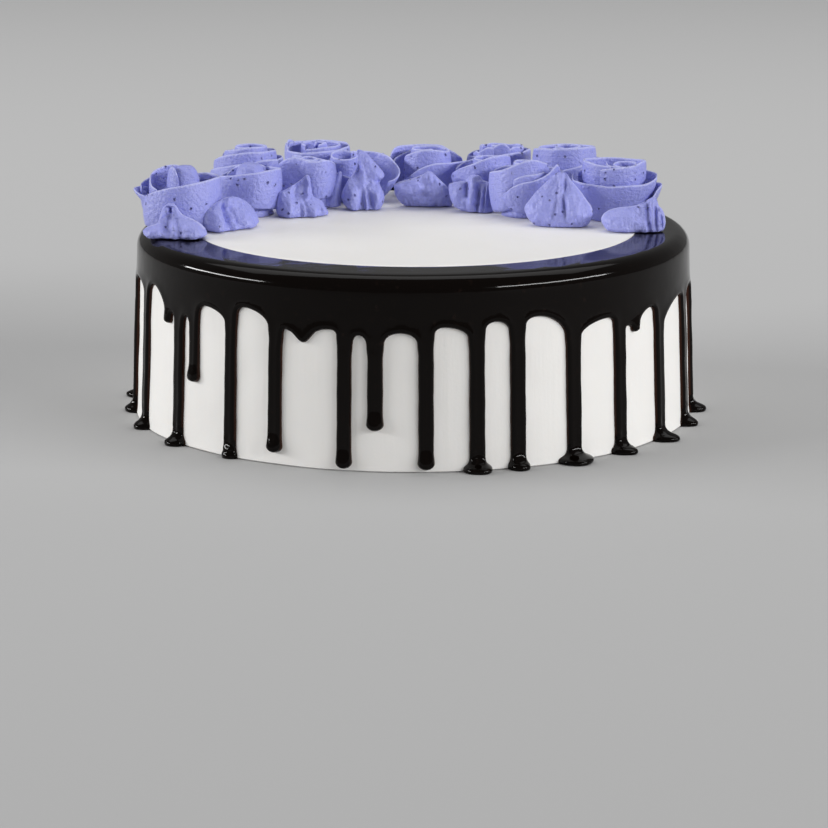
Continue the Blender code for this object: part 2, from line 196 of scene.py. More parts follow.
# %% Mix the chocolate glaze
GLAZE_DARK = (0.0022, 0.0011, 0.0007, 1.0)
GLAZE_SPECK = (0.008, 0.0042, 0.003, 1.0)
GLAZE_THIN = (0.04, 0.014, 0.008, 1.0)

glaze = Finish("chocolate_glaze", (0.002, 0.001, 0.0007), 0.08)
glaze_place = glaze.add("ShaderNodeTexCoord", output=3)
thin = glaze.add("ShaderNodeAttribute", {"attribute_name": "thin"}, output=2)
specks = glaze.noise(glaze_place, 330.0, 3.0)
dark = glaze.blend(glaze.smooth(specks, 0.62, 0.8), GLAZE_DARK, GLAZE_SPECK)
glaze.set("Base Color", glaze.blend(glaze.smooth(thin, 0.25, 1.0), dark, GLAZE_THIN))
glaze.set("Roughness", 0.05 + 0.06 * glaze.noise(glaze_place, 60.0))
glaze.set("IOR", 1.23)
glaze.bumps(glaze.noise(glaze_place, 120.0, 1.0) + 0.15 * specks, 0.00008)
print("chocolate glaze:", len(glaze.tree.nodes), "nodes")

# %% [markdown]
# ## The lilac cream
# Stiff tinted cream, pressed through a flat nozzle. Trapped air leaves small
# pits of uneven shape, dented in the relief and painted dark as painted shade.
# They are the hearts of the cells of a Voronoi pattern whose coordinates noise
# has bent, and only some cells have one.

# %% Mix the lilac cream
LILAC_DEEP = (0.285, 0.305, 0.715, 1.0)
LILAC_LIGHT = (0.34, 0.36, 0.77, 1.0)
# Painted highlight: the paler colour painted on thin rims where light catches them.
LILAC_RIM_PAINTED_HIGHLIGHT = (0.56, 0.58, 0.88, 1.0)
# Painted shade: the dark colour painted into the pits, which are also real dents in the bump.
LILAC_PIT_PAINTED_SHADE = (0.07, 0.065, 0.28, 1.0)
PIT_SCALE = 360.0
PIT_BEND = (0.0011,) * 3

lilac = Finish("lilac_cream", (0.32, 0.34, 0.76), 0.5)
lilac_place = lilac.add("ShaderNodeTexCoord", output=3)
warp = lilac.add("ShaderNodeTexNoise", {}, {"Vector": lilac_place, "Scale": 900.0}, 1)
shift = {0: warp, 1: PIT_BEND, 2: lilac_place}
bent = lilac.add("ShaderNodeVectorMath", {"operation": "MULTIPLY_ADD"}, shift)
cell = {"Vector": bent, "Scale": PIT_SCALE}
heart_distance = lilac.add("ShaderNodeTexVoronoi", {}, cell)
luck = lilac.add("ShaderNodeSeparateColor", {}, {0: lilac.add("ShaderNodeTexVoronoi", {}, cell, 1)})
# The pit mask dents the relief and also paints shade into the pits.
pits = (1.0 - lilac.smooth(heart_distance, 0.07, 0.25)) * luck.over(0.74)
print("pits are in", round(100 * (1 - 0.74)), "% of the cells")

# %% [markdown]
# ## Its rims and drag lines
# A thin rim is painted paler, a painted highlight where light catches it, so each
# piece carries how near its rim a point is. The nozzle leaves fine drag lines
# along each petal, so each piece also has a map whose first axis runs along the
# drag. The rest is a grain of about a millimetre.

# %% Colour and roughen the lilac cream
rim = lilac.add("ShaderNodeAttribute", {"attribute_name": "rim"}, output=2)
tint = lilac.blend(lilac.noise(lilac_place, 70.0), LILAC_DEEP, LILAC_LIGHT)
# Painted highlight: the rims are painted paler where light catches them.
tint = lilac.blend(lilac.smooth(rim, 0.55, 1.0) * 0.6, tint, LILAC_RIM_PAINTED_HIGHLIGHT)
# Painted shade in the pits: they are darkened in the colour as well as dented in the relief.
lilac.set("Base Color", lilac.blend(0.85 * pits, tint, LILAC_PIT_PAINTED_SHADE))
lilac.set("Subsurface Weight", 0.10)
lilac.set("Subsurface Radius", (0.0010, 0.0012, 0.0024))
lilac.set("Subsurface Scale", 0.8)
drag_map = lilac.add("ShaderNodeUVMap", {"uv_map": "drag"})
drag = lilac.noise(lilac.stretched(drag_map, (0.10, 1.9, 1.0)), 1.0, 3.0)
lumps = lilac.noise(lilac_place, 800.0, 4.0)
lilac.set("Roughness", 0.30 + 0.16 * lumps)
lilac.bumps(0.30 * drag + 0.9 * lumps - 1.5 * pits, 0.0008)
print("lilac cream:", len(lilac.tree.nodes), "nodes")

# %% [markdown]
# ## Working by hand, in code
# A tool acts on everything that is selected, so each step starts from nothing
# selected. A finished piece sits at the origin, hides the solid it stands in
# for, and takes its finish.

# %% Make the helpers for pieces
MM = 0.001


def clear_selection():
    if bpy.context.mode != "OBJECT":
        bpy.ops.object.mode_set(mode="OBJECT")
    bpy.ops.object.select_all(action="DESELECT")


def apply_modifier(piece, kind, **settings):
    """Adds a modifier, sets it and applies it."""
    modifier = piece.modifiers.new(kind.lower(), kind)
    for name, value in settings.items():
        setattr(modifier, name, value)
    bpy.context.view_layer.objects.active = piece
    bpy.ops.object.modifier_apply(modifier=modifier.name)


def join_pieces(parts):
    """One object out of several."""
    clear_selection()
    for part in parts:
        part.select_set(True)
    bpy.context.view_layer.objects.active = parts[0]
    if len(parts) > 1:
        bpy.ops.object.join()
    return parts[0]


def finish_piece(piece, name, finish, node, sharp=None):
    """Names a piece, gives it its finish and puts it in its solid's stead."""
    clear_selection()
    piece.select_set(True)
    bpy.context.view_layer.objects.active = piece
    bpy.ops.object.transform_apply(location=True, rotation=True, scale=True)
    piece.name = name
    piece.data.name = name
    piece.data.materials.clear()
    piece.data.materials.append(finish.material)
    if sharp is None:
        bpy.ops.object.shade_smooth()
    else:
        bpy.ops.object.shade_smooth_by_angle(angle=radians(sharp))
    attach(piece, "root")
    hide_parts(node)
    piece.data.calc_loop_triangles()
    return len(piece.data.loop_triangles)


def around(turn, radius, height):
    """The point at a turn round the cake, 0 at the front and 90 at +X."""
    angle = radians(turn)
    return Vector((radius * sin(angle), -radius * cos(angle), height))


print("helpers for pieces are ready")

# %% [markdown]
# ## The cream-covered cake
# The cream was smoothed on a turntable, so its section is the same all round.
# It could be spun from a profile, or grown from a disc by extruding and scaling
# again and again. The second way keeps each height a plain number. A soft noise
# then takes the lathe-like perfection away.

# %% Model the cake
CAKE_HEIGHT = 70.8
CAKE_RADIUS = 104.0
BASE_RADIUS = 106.4
SHOULDER_RADIUS = 4.5
DISC_RADIUS = 84.0
DISC_SHIFT = 1.0
LEDGE_HEIGHT = CAKE_HEIGHT - 1.2
SIDE_TOP = LEDGE_HEIGHT - SHOULDER_RADIUS
FLAT_RADIUS = CAKE_RADIUS - SHOULDER_RADIUS


def side_radius(height):
    """Radius of the cream side in mm, which leans out a little to the base."""
    return BASE_RADIUS + (CAKE_RADIUS - BASE_RADIUS) * height / SIDE_TOP


cake_steps = [(BASE_RADIUS + 0.3, 0.5)]
cake_steps += [(side_radius(3.0 * step), 3.0 * step) for step in range(1, 22)]
cake_steps += [
    (FLAT_RADIUS + SHOULDER_RADIUS * cos(bend), SIDE_TOP + SHOULDER_RADIUS * sin(bend))
    for bend in (0.0, 0.4, 0.8, 1.2, 0.5 * pi)
]
cake_steps += [(DISC_RADIUS + 0.4, LEDGE_HEIGHT), (DISC_RADIUS + 0.2, CAKE_HEIGHT - 0.25)]
cake_steps += [(DISC_RADIUS - 0.1, CAKE_HEIGHT), (DISC_RADIUS - 3.0, CAKE_HEIGHT)]
cake_steps += [(radius, CAKE_HEIGHT) for radius in (70.0, 52.0, 34.0, 16.0)]
clear_selection()
bpy.ops.mesh.primitive_circle_add(vertices=256, radius=(BASE_RADIUS - 0.4) * MM, fill_type="NGON")
cake = bpy.context.object
bpy.ops.object.mode_set(mode="EDIT")
bpy.ops.mesh.select_all(action="SELECT")
radius, height = BASE_RADIUS - 0.4, 0.0
for new_radius, new_height in cake_steps:
    rise = {"value": (0.0, 0.0, (new_height - height) * MM)}
    bpy.ops.mesh.extrude_region_move(TRANSFORM_OT_translate=rise)
    grow = new_radius / radius
    bpy.ops.transform.resize(value=(grow, grow, 1.0), center_override=(0.0, 0.0, new_height * MM))
    radius, height = new_radius, new_height
bpy.ops.mesh.select_all(action="SELECT")
bpy.ops.mesh.normals_make_consistent(inside=False)
bpy.ops.object.mode_set(mode="OBJECT")
for vertex in cake.data.vertices:
    if vertex.co.z > (LEDGE_HEIGHT + 0.1) * MM:
        vertex.co.x += DISC_SHIFT * MM
swell = bpy.data.textures.new("cream_swell", "CLOUDS")
swell.noise_scale = 0.022
apply_modifier(cake, "DISPLACE", texture=swell, strength=0.7 * MM, mid_level=0.5, texture_coords="LOCAL")
for vertex in cake.data.vertices:
    vertex.co.z = max(vertex.co.z, 0.0)
print("cake:", finish_piece(cake, "cream_cake", white, "cake", 40), "triangles")

# %% [markdown]
# ## Where the glaze ends
# Poured over the rim, the glaze stopped in arches and ran down in drips. Those
# at the front are a table, since no rule would put them where they are: turn in
# degrees, width, height of the tip, width and reach of its pool, then the arch
# to the next one with its left foot, crest, the crest's place along it and its
# right foot, in mm. On the far side a rule goes on in the same rhythm.

# %% List the drips
FRONT_DRIPS = (
    (-86, 5.4, 0, 9, 5, 51, 54.8, 0.5, 51), (-70.5, 5.2, 0, 9, 5.5, 51.5, 56, 0.35, 47),
    (-58.8, 3.6, 44, 0, 0, 46.2, 48.4, 0.5, 46.4), (-54.4, 5.6, 0, 9, 6, 46, 48.6, 0.5, 45.6),
    (-49.2, 5, 25, 0, 0, 50, 54, 0.25, 49.8), (-38.7, 5.2, 0, 7, 3, 52, 56, 0.25, 50.6),
    (-28, 5.5, 4.5, 0, 0, 47.6, 49.9, 0.4, 49.5), (-21.9, 10.6, 45.7, 0, 0, 50.3, 51, 0.6, 49.4),
    (-13.5, 5.4, 0.9, 0, 0, 46, 49.4, 0.45, 46), (-7.4, 5.7, 15, 0, 0, 46.5, 50.4, 0.5, 46.5),
    (2.5, 5.6, 1, 0, 0, 49.8, 52.4, 0.3, 48.6), (12.5, 5.8, 0, 10.5, 6.5, 51, 53.8, 0.45, 50.4),
    (20.8, 5.9, 0, 8, 5.5, 51.8, 54.6, 0.3, 46.6), (33.2, 6.2, 0, 14, 8, 46.2, 50.6, 0.8, 48.2),
    (45.4, 5.8, 0, 10, 7, 45.6, 46.2, 0.5, 45), (50.2, 3.6, 43.4, 0, 0, 45.4, 50.9, 0.75, 47.4),
    (59.2, 5.8, 0, 10, 8, 43, 50.9, 0.85, 48.4), (73.5, 5.6, 0, 9, 6, 48.4, 51.9, 0.5, 48.4),
    (86.5, 5.6, 0, 9, 7, 47.5, 51.5, 0.4, 47),
)
BACK_SPACES = 12


def back_drips():
    draw = random.Random(4)
    first = FRONT_DRIPS[-1][0]
    span = FRONT_DRIPS[0][0] + 360.0 - first
    drips = []
    for place in range(1, BACK_SPACES):
        turn = first + span * (place + draw.uniform(-0.15, 0.15)) / BACK_SPACES
        width = draw.uniform(5.0, 6.2)
        crest = draw.uniform(49.5, 55.0)
        left = crest - draw.uniform(2.5, 4.5)
        right = crest - draw.uniform(2.5, 4.5)
        arch = (left, crest, draw.uniform(0.25, 0.75), right)
        if draw.random() < 0.55:
            pool = (0.0, draw.uniform(8.0, 11.0), draw.uniform(5.0, 7.5))
        else:
            pool = (draw.uniform(3.0, 26.0), 0.0, 0.0)
        drips.append((turn, width, *pool, *arch))
    return drips


DRIPS = list(FRONT_DRIPS) + back_drips()
print("drips:", len(DRIPS))

# %% [markdown]
# ## The outline of the glaze, rolled out flat
# Rolled out flat, the side of the cake is a strip: along it runs the way round,
# and up it the height. The edge of the glaze is one line on that strip. First
# come its arches: a superellipse on either side of the crest, which is fuller
# where it is short.

# %% Shape the arches
STRIP_RADIUS = 105.2
SPREAD = pi / 180.0 * STRIP_RADIUS
# A drip meets its arches at this share of its width from its middle.
NECK_SHARE = 0.56


def arch_height(left, crest, place, right, share):
    if share < place:
        foot, away, length = left, 1.0 - share / place, place
    else:
        foot, away, length = right, (share - place) / (1.0 - place), 1.0 - place
    roundness = 2.6 - 1.1 * length
    return foot + (crest - foot) * max(0.0, 1.0 - away ** roundness) ** (1.0 / roundness)


def neck(width):
    """Half the width of a drip, in mm along the strip, where it leaves the band."""
    return degrees(asin(NECK_SHARE * width / CAKE_RADIUS)) * SPREAD


def arch_points(index, first=0.0, last=1.0):
    """Points of the arch after a drip, from a share of it to another."""
    drip, after = DRIPS[index], DRIPS[(index + 1) % len(DRIPS)]
    start = drip[0] * SPREAD + neck(drip[1])
    after_turn = after[0] if after[0] > drip[0] else after[0] + 360.0
    end = after_turn * SPREAD - neck(after[1])
    count = 2 * max(4, round((end - start) / 1.5))
    points = []
    for step in range(count + 1):
        share = 0.5 - 0.5 * cos(pi * step / count)
        if first - 1e-9 <= share <= last + 1e-9:
            points.append((start + share * (end - start), arch_height(*drip[5:], share)))
    return points


print("the neck of a 5.5 mm drip is", round(2.0 * neck(5.5), 2), "mm wide")

# %% [markdown]
# ## The sides of a drip
# A drip narrows over a short neck, wavers a little on its way down, and swells
# to a bulb before its round tip. Where it ends in a pool it is cut off a little
# above it, and a very wide one is only a low swag of the edge.

# %% Shape the drips
NECK_LENGTH = 5.0
CUT_HEIGHT = 7.0
SWAG_WIDTH = 8.0
SWAG_STEPS = 12
TIP_LENGTH = 2.5
TIP_STEPS = 9
BULB_SHARE = 1.12


def drip_half(drip, top, height):
    """Half the width of a drip at a height: wide at the neck, then nearly even."""
    turn, width = drip[:2]
    half = 0.5 * width
    narrow = min(1.0, max(0.0, (top - height) / NECK_LENGTH))
    narrow = narrow * narrow * (3.0 - 2.0 * narrow)
    waver = 1.0 + 0.018 * narrow * sin(0.31 * height + turn)
    waver += 0.008 * narrow * sin(0.83 * height + 3.0 * turn)
    return (neck(width) * (1.0 - narrow) + half * narrow) * waver


def swag_side(width, foot, top):
    shares = [step / SWAG_STEPS for step in range(1, SWAG_STEPS + 1)]
    heights = [foot + (top - foot) * (0.5 + 0.5 * cos(pi * share)) for share in shares]
    return [(neck(width) * (1.0 - share), height) for share, height in zip(shares, heights)]


def drip_side(drip, top):
    """Points down one side of a drip to its tip or cut: half width and height."""
    width, foot, pool_width = drip[1:4]
    if width > SWAG_WIDTH:
        return swag_side(width, foot, top)
    half = 0.5 * width
    swell = min(1.0, width / 5.0)
    end = CUT_HEIGHT if pool_width > 0.0 else foot + TIP_LENGTH * swell
    points = []
    count = max(2, round((top - end) / 1.3))
    for step in range(1, count + 1):
        height = top + (end - top) * step / count
        wide = drip_half(drip, top, height)
        if pool_width == 0.0:
            bulge = max(0.0, 1.0 - (height - end) / (3.5 * swell))
            wide = wide * (1.0 - bulge) + BULB_SHARE * half * bulge
        points.append((wide, height))
    if pool_width == 0.0:
        for step in range(1, TIP_STEPS + 1):
            angle = 0.5 * pi * step / TIP_STEPS
            points.append((BULB_SHARE * half * cos(angle), end - TIP_LENGTH * swell * sin(angle)))
    return points


print("drips with a pool:", sum(drip[3] > 0.0 for drip in DRIPS))

# %% [markdown]
# ## One line round the cake
# The line starts in the middle of the arch at the back and goes round each
# arch, down one side of a drip and up the other, until it meets its start.
# Cuts above the pools are kept in a list, and so are the bulbs.

# %% Draw the outline
POOL_COLUMNS = 15
POOL_SLANT = [sin(pi * step / (POOL_COLUMNS - 1) - 0.5 * pi) for step in range(POOL_COLUMNS)]

edge = arch_points(len(DRIPS) - 1, 0.5, 1.0)
edge = [(along - 360.0 * SPREAD, height) for along, height in edge]
cuts = []
bulbs = []
for index, drip in enumerate(DRIPS):
    turn, width, foot, pool_width = drip[:4]
    middle = turn * SPREAD
    down, up = drip_side(drip, DRIPS[index - 1][8]), drip_side(drip, drip[5])
    edge += [(middle - wide, height) for wide, height in down]
    if pool_width > 0.0:
        cut_half = down[-1][0]
        cuts.append((len(edge) - 1, index, cut_half))
        edge += [(middle + share * cut_half, CUT_HEIGHT) for share in POOL_SLANT[1:-1]]
        edge.append((middle + cut_half, CUT_HEIGHT))
    elif width < SWAG_WIDTH:
        bulbs.append((middle, foot + 2.4, 0.5 * width))
    edge += [(middle + wide, height) for wide, height in up[-2::-1]]
    edge += arch_points(index, 0.0, 1.0 if index < len(DRIPS) - 1 else 0.5)
edge = np.array(edge)
seam_gap = edge[-1, 0] - edge[0, 0] - 360.0 * SPREAD
print("points on the outline:", len(edge), "seam is off by", round(float(seam_gap), 4), "mm")

# %% [markdown]
# ## How thick the glaze lies
# Surface tension rounds the glaze off at its edge and heaps it a little behind
# it, so its thickness is a matter of the distance to the outline. The strip goes
# on past the seam at both ends, so that the distance is right there too. A cut
# above a pool isn't an edge, but the sides of its drip go on below it.

# %% Measure the distance to the edge
SIDE_END = 2.0
SEAM_REACH = 12.0

segments = np.hstack([edge[:-1], edge[1:]])
real = np.ones(len(segments), bool)
tails = []
for start, index, wide in cuts:
    real[start:start + POOL_COLUMNS - 1] = False
    middle = DRIPS[index][0] * SPREAD
    for along in (middle - wide, middle + wide):
        tails.append((along, CUT_HEIGHT, along, SIDE_END))
segments = np.vstack([segments[real], tails])
period = np.array([360.0 * SPREAD, 0.0, 360.0 * SPREAD, 0.0])
near_start = segments[segments[:, 0] < edge[0, 0] + SEAM_REACH]
near_end = segments[segments[:, 0] > edge[-1, 0] - SEAM_REACH]
segments = np.vstack([segments, near_start + period, near_end - period])


def edge_distance(points):
    """Distance of each point on the strip to the outline, in mm."""
    found = []
    start, along = segments[:, :2], segments[:, 2:] - segments[:, :2]
    length = np.maximum((along ** 2).sum(1), 1e-12)
    for part in np.array_split(points, max(1, len(points) // 800)):
        away = part[:, None, :] - start[None]
        share = np.clip((away * along[None]).sum(2) / length[None], 0.0, 1.0)
        gap = away - share[..., None] * along[None]
        found.append(np.sqrt((gap ** 2).sum(2).min(1)))
    return np.concatenate(found)


def is_inside(points, loop):
    """Whether each point lies inside a closed line, by counting crossings."""
    inside = np.zeros(len(points), bool)
    for (ax, ay), (bx, by) in zip(loop, np.roll(loop, -1, 0)):
        if ay != by:
            between = (points[:, 1] > ay) != (points[:, 1] > by)
            cross = ax + (points[:, 1] - ay) / (by - ay) * (bx - ax)
            inside ^= between & (points[:, 0] < cross)
    return inside


print("stretches of edge:", len(segments))

# %% [markdown]
# ## The net of the skin
# The skin is a net of triangles with close rows along the outline, where it is
# round, and wide ones elsewhere. A turned or extruded shape couldn't follow the
# arches, so this piece is made in code. A point is kept only where no earlier
# one stands closer than its space.

# %% Spread the net
STRIP_TOP = 60.0
TOP_COLUMNS = 480
ROW_GAPS = (0.07, 0.2, 0.4, 0.66, 1.0, 1.4, 1.9, 2.45)
GRID_STEP = 2.0
GRID_FOOT = 44.0
GRID_ROWS = 9
HOME_SIZE = 1.2

left, right = edge[0, 0], edge[-1, 0]
seam = np.linspace(edge[0, 1], STRIP_TOP, 6)[1:-1]
top_row = left + (right - left) * np.arange(TOP_COLUMNS, -1, -1) / TOP_COLUMNS
loop = np.vstack([
    edge,
    [(right, height) for height in seam],
    [(along, STRIP_TOP) for along in top_row],
    [(left, height) for height in seam[::-1]],
])
tangent = np.gradient(edge, axis=0)
tangent /= np.linalg.norm(tangent, axis=1)[:, None]
inward = np.stack([-tangent[:, 1], tangent[:, 0]], 1)
rows = []
for gap in ROW_GAPS:
    row = edge + gap * inward
    clear = edge_distance(row) > 0.93 * gap
    keep = clear & (row[:, 0] > left + 0.3) & (row[:, 0] < right - 0.3)
    rows += [(x, y, max(0.1, 0.42 * gap)) for x, y in row[keep]]
grid = np.array([
    (left + GRID_STEP * column + (row % 2), GRID_FOOT + 1.8 * row)
    for column in range(1, int((right - left) / GRID_STEP)) for row in range(GRID_ROWS)
])
grid = grid[(edge_distance(grid) > 2.9) & is_inside(grid, loop)]
rows += [(x, y, 1.0) for x, y in grid if y < STRIP_TOP - 0.8 and left + 0.6 < x < right - 0.6]
kept = {}
inner = []
for x, y, space in rows:
    home = (int(x // HOME_SIZE), int(y // HOME_SIZE))
    homes = [(home[0] + a, home[1] + b) for a in (-1, 0, 1) for b in (-1, 0, 1)]
    beside = [point for place in homes for point in kept.get(place, ())]
    if all((x - px) ** 2 + (y - py) ** 2 > space * space for px, py in beside):
        kept.setdefault(home, []).append((x, y))
        inner.append((x, y))
print("points in the net:", len(inner))

# %% [markdown]
# ## How thick it lies
# About 1.5 mm, thin at the very edge and a little thicker just behind it, with
# soft waves. A whole number of waves fits round the cake, so that the seam
# doesn't show. A drip that hangs free carries a bulb at its end.

# %% Give the glaze its thickness
GLAZE_THICK = 1.5
ROUND_REACH = 1.2
HEAP = 0.32
BULB_HEAP = 1.25

draw = random.Random(7)


def draw_wave():
    along = draw.randint(10, 50) * 2.0 * pi / (360.0 * SPREAD)
    return along, draw.uniform(-0.4, 0.4), draw.uniform(0.0, 6.0)


waves = [draw_wave() for _ in range(6)]


def thickness(points):
    """Thickness of the glaze in mm at points on the strip, and how near the edge each is."""
    gap = edge_distance(points)
    along, up = points[:, 0], points[:, 1]
    round_off = np.sqrt(1.0 - (1.0 - np.minimum(gap / ROUND_REACH, 1.0)) ** 2)
    heap = HEAP * np.exp(-((gap - 1.15) / 0.75) ** 2)
    ripple = sum(np.sin(a * along + b * up + c) for a, b, c in waves)
    lift = GLAZE_THICK + heap + 0.05 * ripple / 2.0
    lift = np.where(up < 44.0, lift + 0.1, lift)
    for middle, height, half in bulbs:
        spot = ((along - middle) / (0.95 * half)) ** 2 + ((up - height) / 2.9) ** 2
        lift = lift + BULB_HEAP * min(1.0, half / 2.6) * np.exp(-spot)
    blend = np.clip((up - 56.0) / 3.5, 0.0, 1.0)
    lift = lift * (1.0 - blend) + GLAZE_THICK * blend
    return lift * round_off, np.exp(-gap / 0.3)


print("thickest:", round(float(thickness(np.array(inner))[0].max()), 2), "mm")

# %% [markdown]
# ## The skin and its underside
# The net is filled with triangles inside its loop, fine for the outside and
# coarse for the underside, which lies half a millimetre deep in the cream. A
# wall joins the two along the outline, apart from the cuts.

# %% Lift the skin off the cream
SUNK = -0.5

points, thin_share, faces = [], [], []


def on_side(along, height, lift):
    return around(along / SPREAD, side_radius(height) + lift, height) * MM


def add_points(places, lifts, shares):
    first = len(points)
    for (along, height), lift, share in zip(places, lifts, shares):
        points.append(on_side(along, height, lift))
        thin_share.append(share)
    return first


net = np.vstack([loop, np.array(inner)])
ring_edges = [(i, (i + 1) % len(loop)) for i in range(len(loop))]
solved = delaunay_2d_cdt([Vector(p) for p in net.tolist()], ring_edges, [], 1, 1e-5)
net_points = np.array([tuple(p) for p in solved[0]])
lifts, shares = thickness(net_points)
first = add_points(net_points, lifts, shares)
faces += [[first + corner for corner in face] for face in solved[2]]
coarse = np.vstack([loop, grid[::3]])
solved_under = delaunay_2d_cdt([Vector(p) for p in coarse.tolist()], ring_edges, [], 1, 1e-5)
under_points = np.array([tuple(p) for p in solved_under[0]])
under_first = add_points(under_points, [SUNK] * len(under_points), [0.0] * len(under_points))
faces += [[under_first + corner for corner in face[::-1]] for face in solved_under[2]]
outer_of = {origin: new for new, origins in enumerate(solved[3]) for origin in origins}
under_of = {origin: new for new, origins in enumerate(solved_under[3]) for origin in origins}
in_cut = {start + step for start, index, wide in cuts for step in range(POOL_COLUMNS - 1)}
for place in range(len(edge) - 1):
    if place not in in_cut:
        a, b = first + outer_of[place], first + outer_of[place + 1]
        c, d = under_first + under_of[place + 1], under_first + under_of[place]
        faces.append([a, b, c, d])
print("skin:", len(solved[2]), "triangles outside,", len(solved_under[2]), "inside")

# %% [markdown]
# ## Pools at the foot
# Where a drip reached the ground it spread into a small puddle with a rounded
# rim. From the cut, rows of points fan out and forward, and end on the ground.
# Each row has its height, its share of the full width, how far its middle stands
# off the cream, and how round it is.

# %% Pour the pools
CUT_LIFT = 1.72


def pool_rows(reach):
    return (
        (6.2, 0.0, CUT_LIFT, 0.15), (5.3, 0.0, 1.85, 0.3), (4.5, 0.03, 2.1, 0.5),
        (3.8, 0.09, 2.3 + 0.06 * reach, 0.7), (3.2, 0.2, 1.9 + 0.22 * reach, 0.85),
        (2.75, 0.36, 1.2 + 0.46 * reach, 1.0), (2.4, 0.55, 0.5 + 0.7 * reach, 1.0),
        (2.1, 0.74, 0.2 + 0.83 * reach, 1.0), (1.8, 0.88, 0.94 * reach, 1.0),
        (1.4, 0.97, reach, 1.0), (0.9, 1.0, 1.02 * reach, 1.0), (0.45, 0.98, reach, 1.0),
        (0.12, 0.93, 0.965 * reach, 1.0), (0.0, 0.9, 0.95 * reach, 1.0),
    )


for start, index, wide in cuts:
    turn = DRIPS[index][0]
    pool_width, reach = DRIPS[index][3:5]
    middle = turn * SPREAD
    spread = 0.5 * pool_width - wide
    upper = [first + outer_of[start + step] for step in range(POOL_COLUMNS)]
    upper_under = [under_first + under_of[start + step] for step in range(POOL_COLUMNS)]
    cut_lift, _ = thickness(edge[start:start + POOL_COLUMNS])
    lean = draw.uniform(-0.25, 0.25)
    for height, share, centre_lift, ellipse in pool_rows(reach):
        half = wide + share * spread
        row, row_under = [], []
        for column, side in enumerate(POOL_SLANT):
            oval = max(0.0, 1.0 - side * side) ** 0.5
            flat = cut_lift[column] / CUT_LIFT
            shape = ellipse * oval + (1.0 - ellipse) * flat
            uneven = 1.0 + share * (0.05 * sin(3.0 * side + 5.0 * turn) + lean * side * 0.3)
            lift = centre_lift * shape * uneven
            along = middle + side * half
            points.append(on_side(along, height, float(lift)))
            thin_share.append(float(np.exp(-lift / 0.35)) if abs(side) < 1.0 else 1.0)
            row.append(len(points) - 1)
            points.append(on_side(along, height, SUNK))
            thin_share.append(0.0)
            row_under.append(len(points) - 1)
        for column in range(POOL_COLUMNS - 1):
            faces.append([upper[column], row[column], row[column + 1], upper[column + 1]])
            above = [upper_under[column], upper_under[column + 1]]
            faces.append([*above, row_under[column + 1], row_under[column]])
        for column in (0, POOL_COLUMNS - 1):
            faces.append([upper[column], row[column], row_under[column], upper_under[column]])
        upper, upper_under = row, row_under
    for column in range(POOL_COLUMNS - 1):
        faces.append([upper[column], upper[column + 1], upper_under[column + 1], upper_under[column]])
print("pools:", len(cuts))

# %% [markdown]
# ## Over the rim and onto the top
# Above the strip the section of the glaze is the same all round: up the side,
# over the rounded rim and in to the edge of the plain disc, where it ends in a
# small rounded step. Each place on the section has its kind, where it lies on
# it, a thickness or height, and how thin the glaze is there.

# %% Close the ring
top_first = len(edge) + len(seam)
outer_row = [first + outer_of[top_first + step] for step in range(TOP_COLUMNS)]
under_row = [under_first + under_of[top_first + step] for step in range(TOP_COLUMNS)]
turns = [top_row[step] / SPREAD for step in range(TOP_COLUMNS)]
outer_section = [("side", 62.5, GLAZE_THICK, 0.0), ("side", SIDE_TOP, GLAZE_THICK, 0.0)]
for step in range(1, 9):
    outer_section.append(("bend", step / 8, GLAZE_THICK - 0.3 * step / 8, 0.0))
outer_section += [("flat", share, 70.8, 0.0) for share in (0.18, 0.36, 0.54, 0.72, 0.86, 0.95)]
outer_section += [("flat", 0.985, 70.74, 0.5), ("flat", 0.997, 70.55, 0.8), ("flat", 1.0, 70.2, 1.0)]
under_section = [("side", SIDE_TOP, SUNK, 0.0), ("bend", 0.5, SUNK, 0.0)]
under_section += [("bend", 1.0, SUNK, 0.0), ("flat", 1.0, 69.1, 0.0)]


def section_row(kind, place, size, share):
    """Points all round the cake at one place on the section."""
    row = []
    for turn in turns:
        if kind == "side":
            point = around(turn, side_radius(place) + size, place)
        elif kind == "bend":
            reach = SHOULDER_RADIUS + size
            bend = 0.5 * pi * place
            point = around(turn, FLAT_RADIUS + reach * cos(bend), SIDE_TOP + reach * sin(bend))
        else:
            inner_edge = DISC_RADIUS + 0.3 + DISC_SHIFT * sin(radians(turn))
            inner_edge += 0.12 * sin(radians(5 * turn))
            point = around(turn, FLAT_RADIUS + (inner_edge - FLAT_RADIUS) * place, size)
        points.append(point * MM)
        thin_share.append(share)
        row.append(len(points) - 1)
    return row


def wrap(lower, upper, turned=False):
    for step in range(TOP_COLUMNS):
        after = (step + 1) % TOP_COLUMNS
        quad = [lower[step], lower[after], upper[after], upper[step]]
        faces.append(quad[::-1] if turned else quad)


for section in outer_section:
    row = section_row(*section)
    wrap(outer_row, row)
    outer_row = row
for section in under_section:
    row = section_row(*section)
    wrap(under_row, row, True)
    under_row = row
wrap(outer_row, under_row)
print("points of the glaze:", len(points))

# %% [markdown]
# ## One piece of glaze
# The points and faces become one mesh. Points that meet are merged, so that the
# skin is closed, and each keeps how thin the glaze is there.

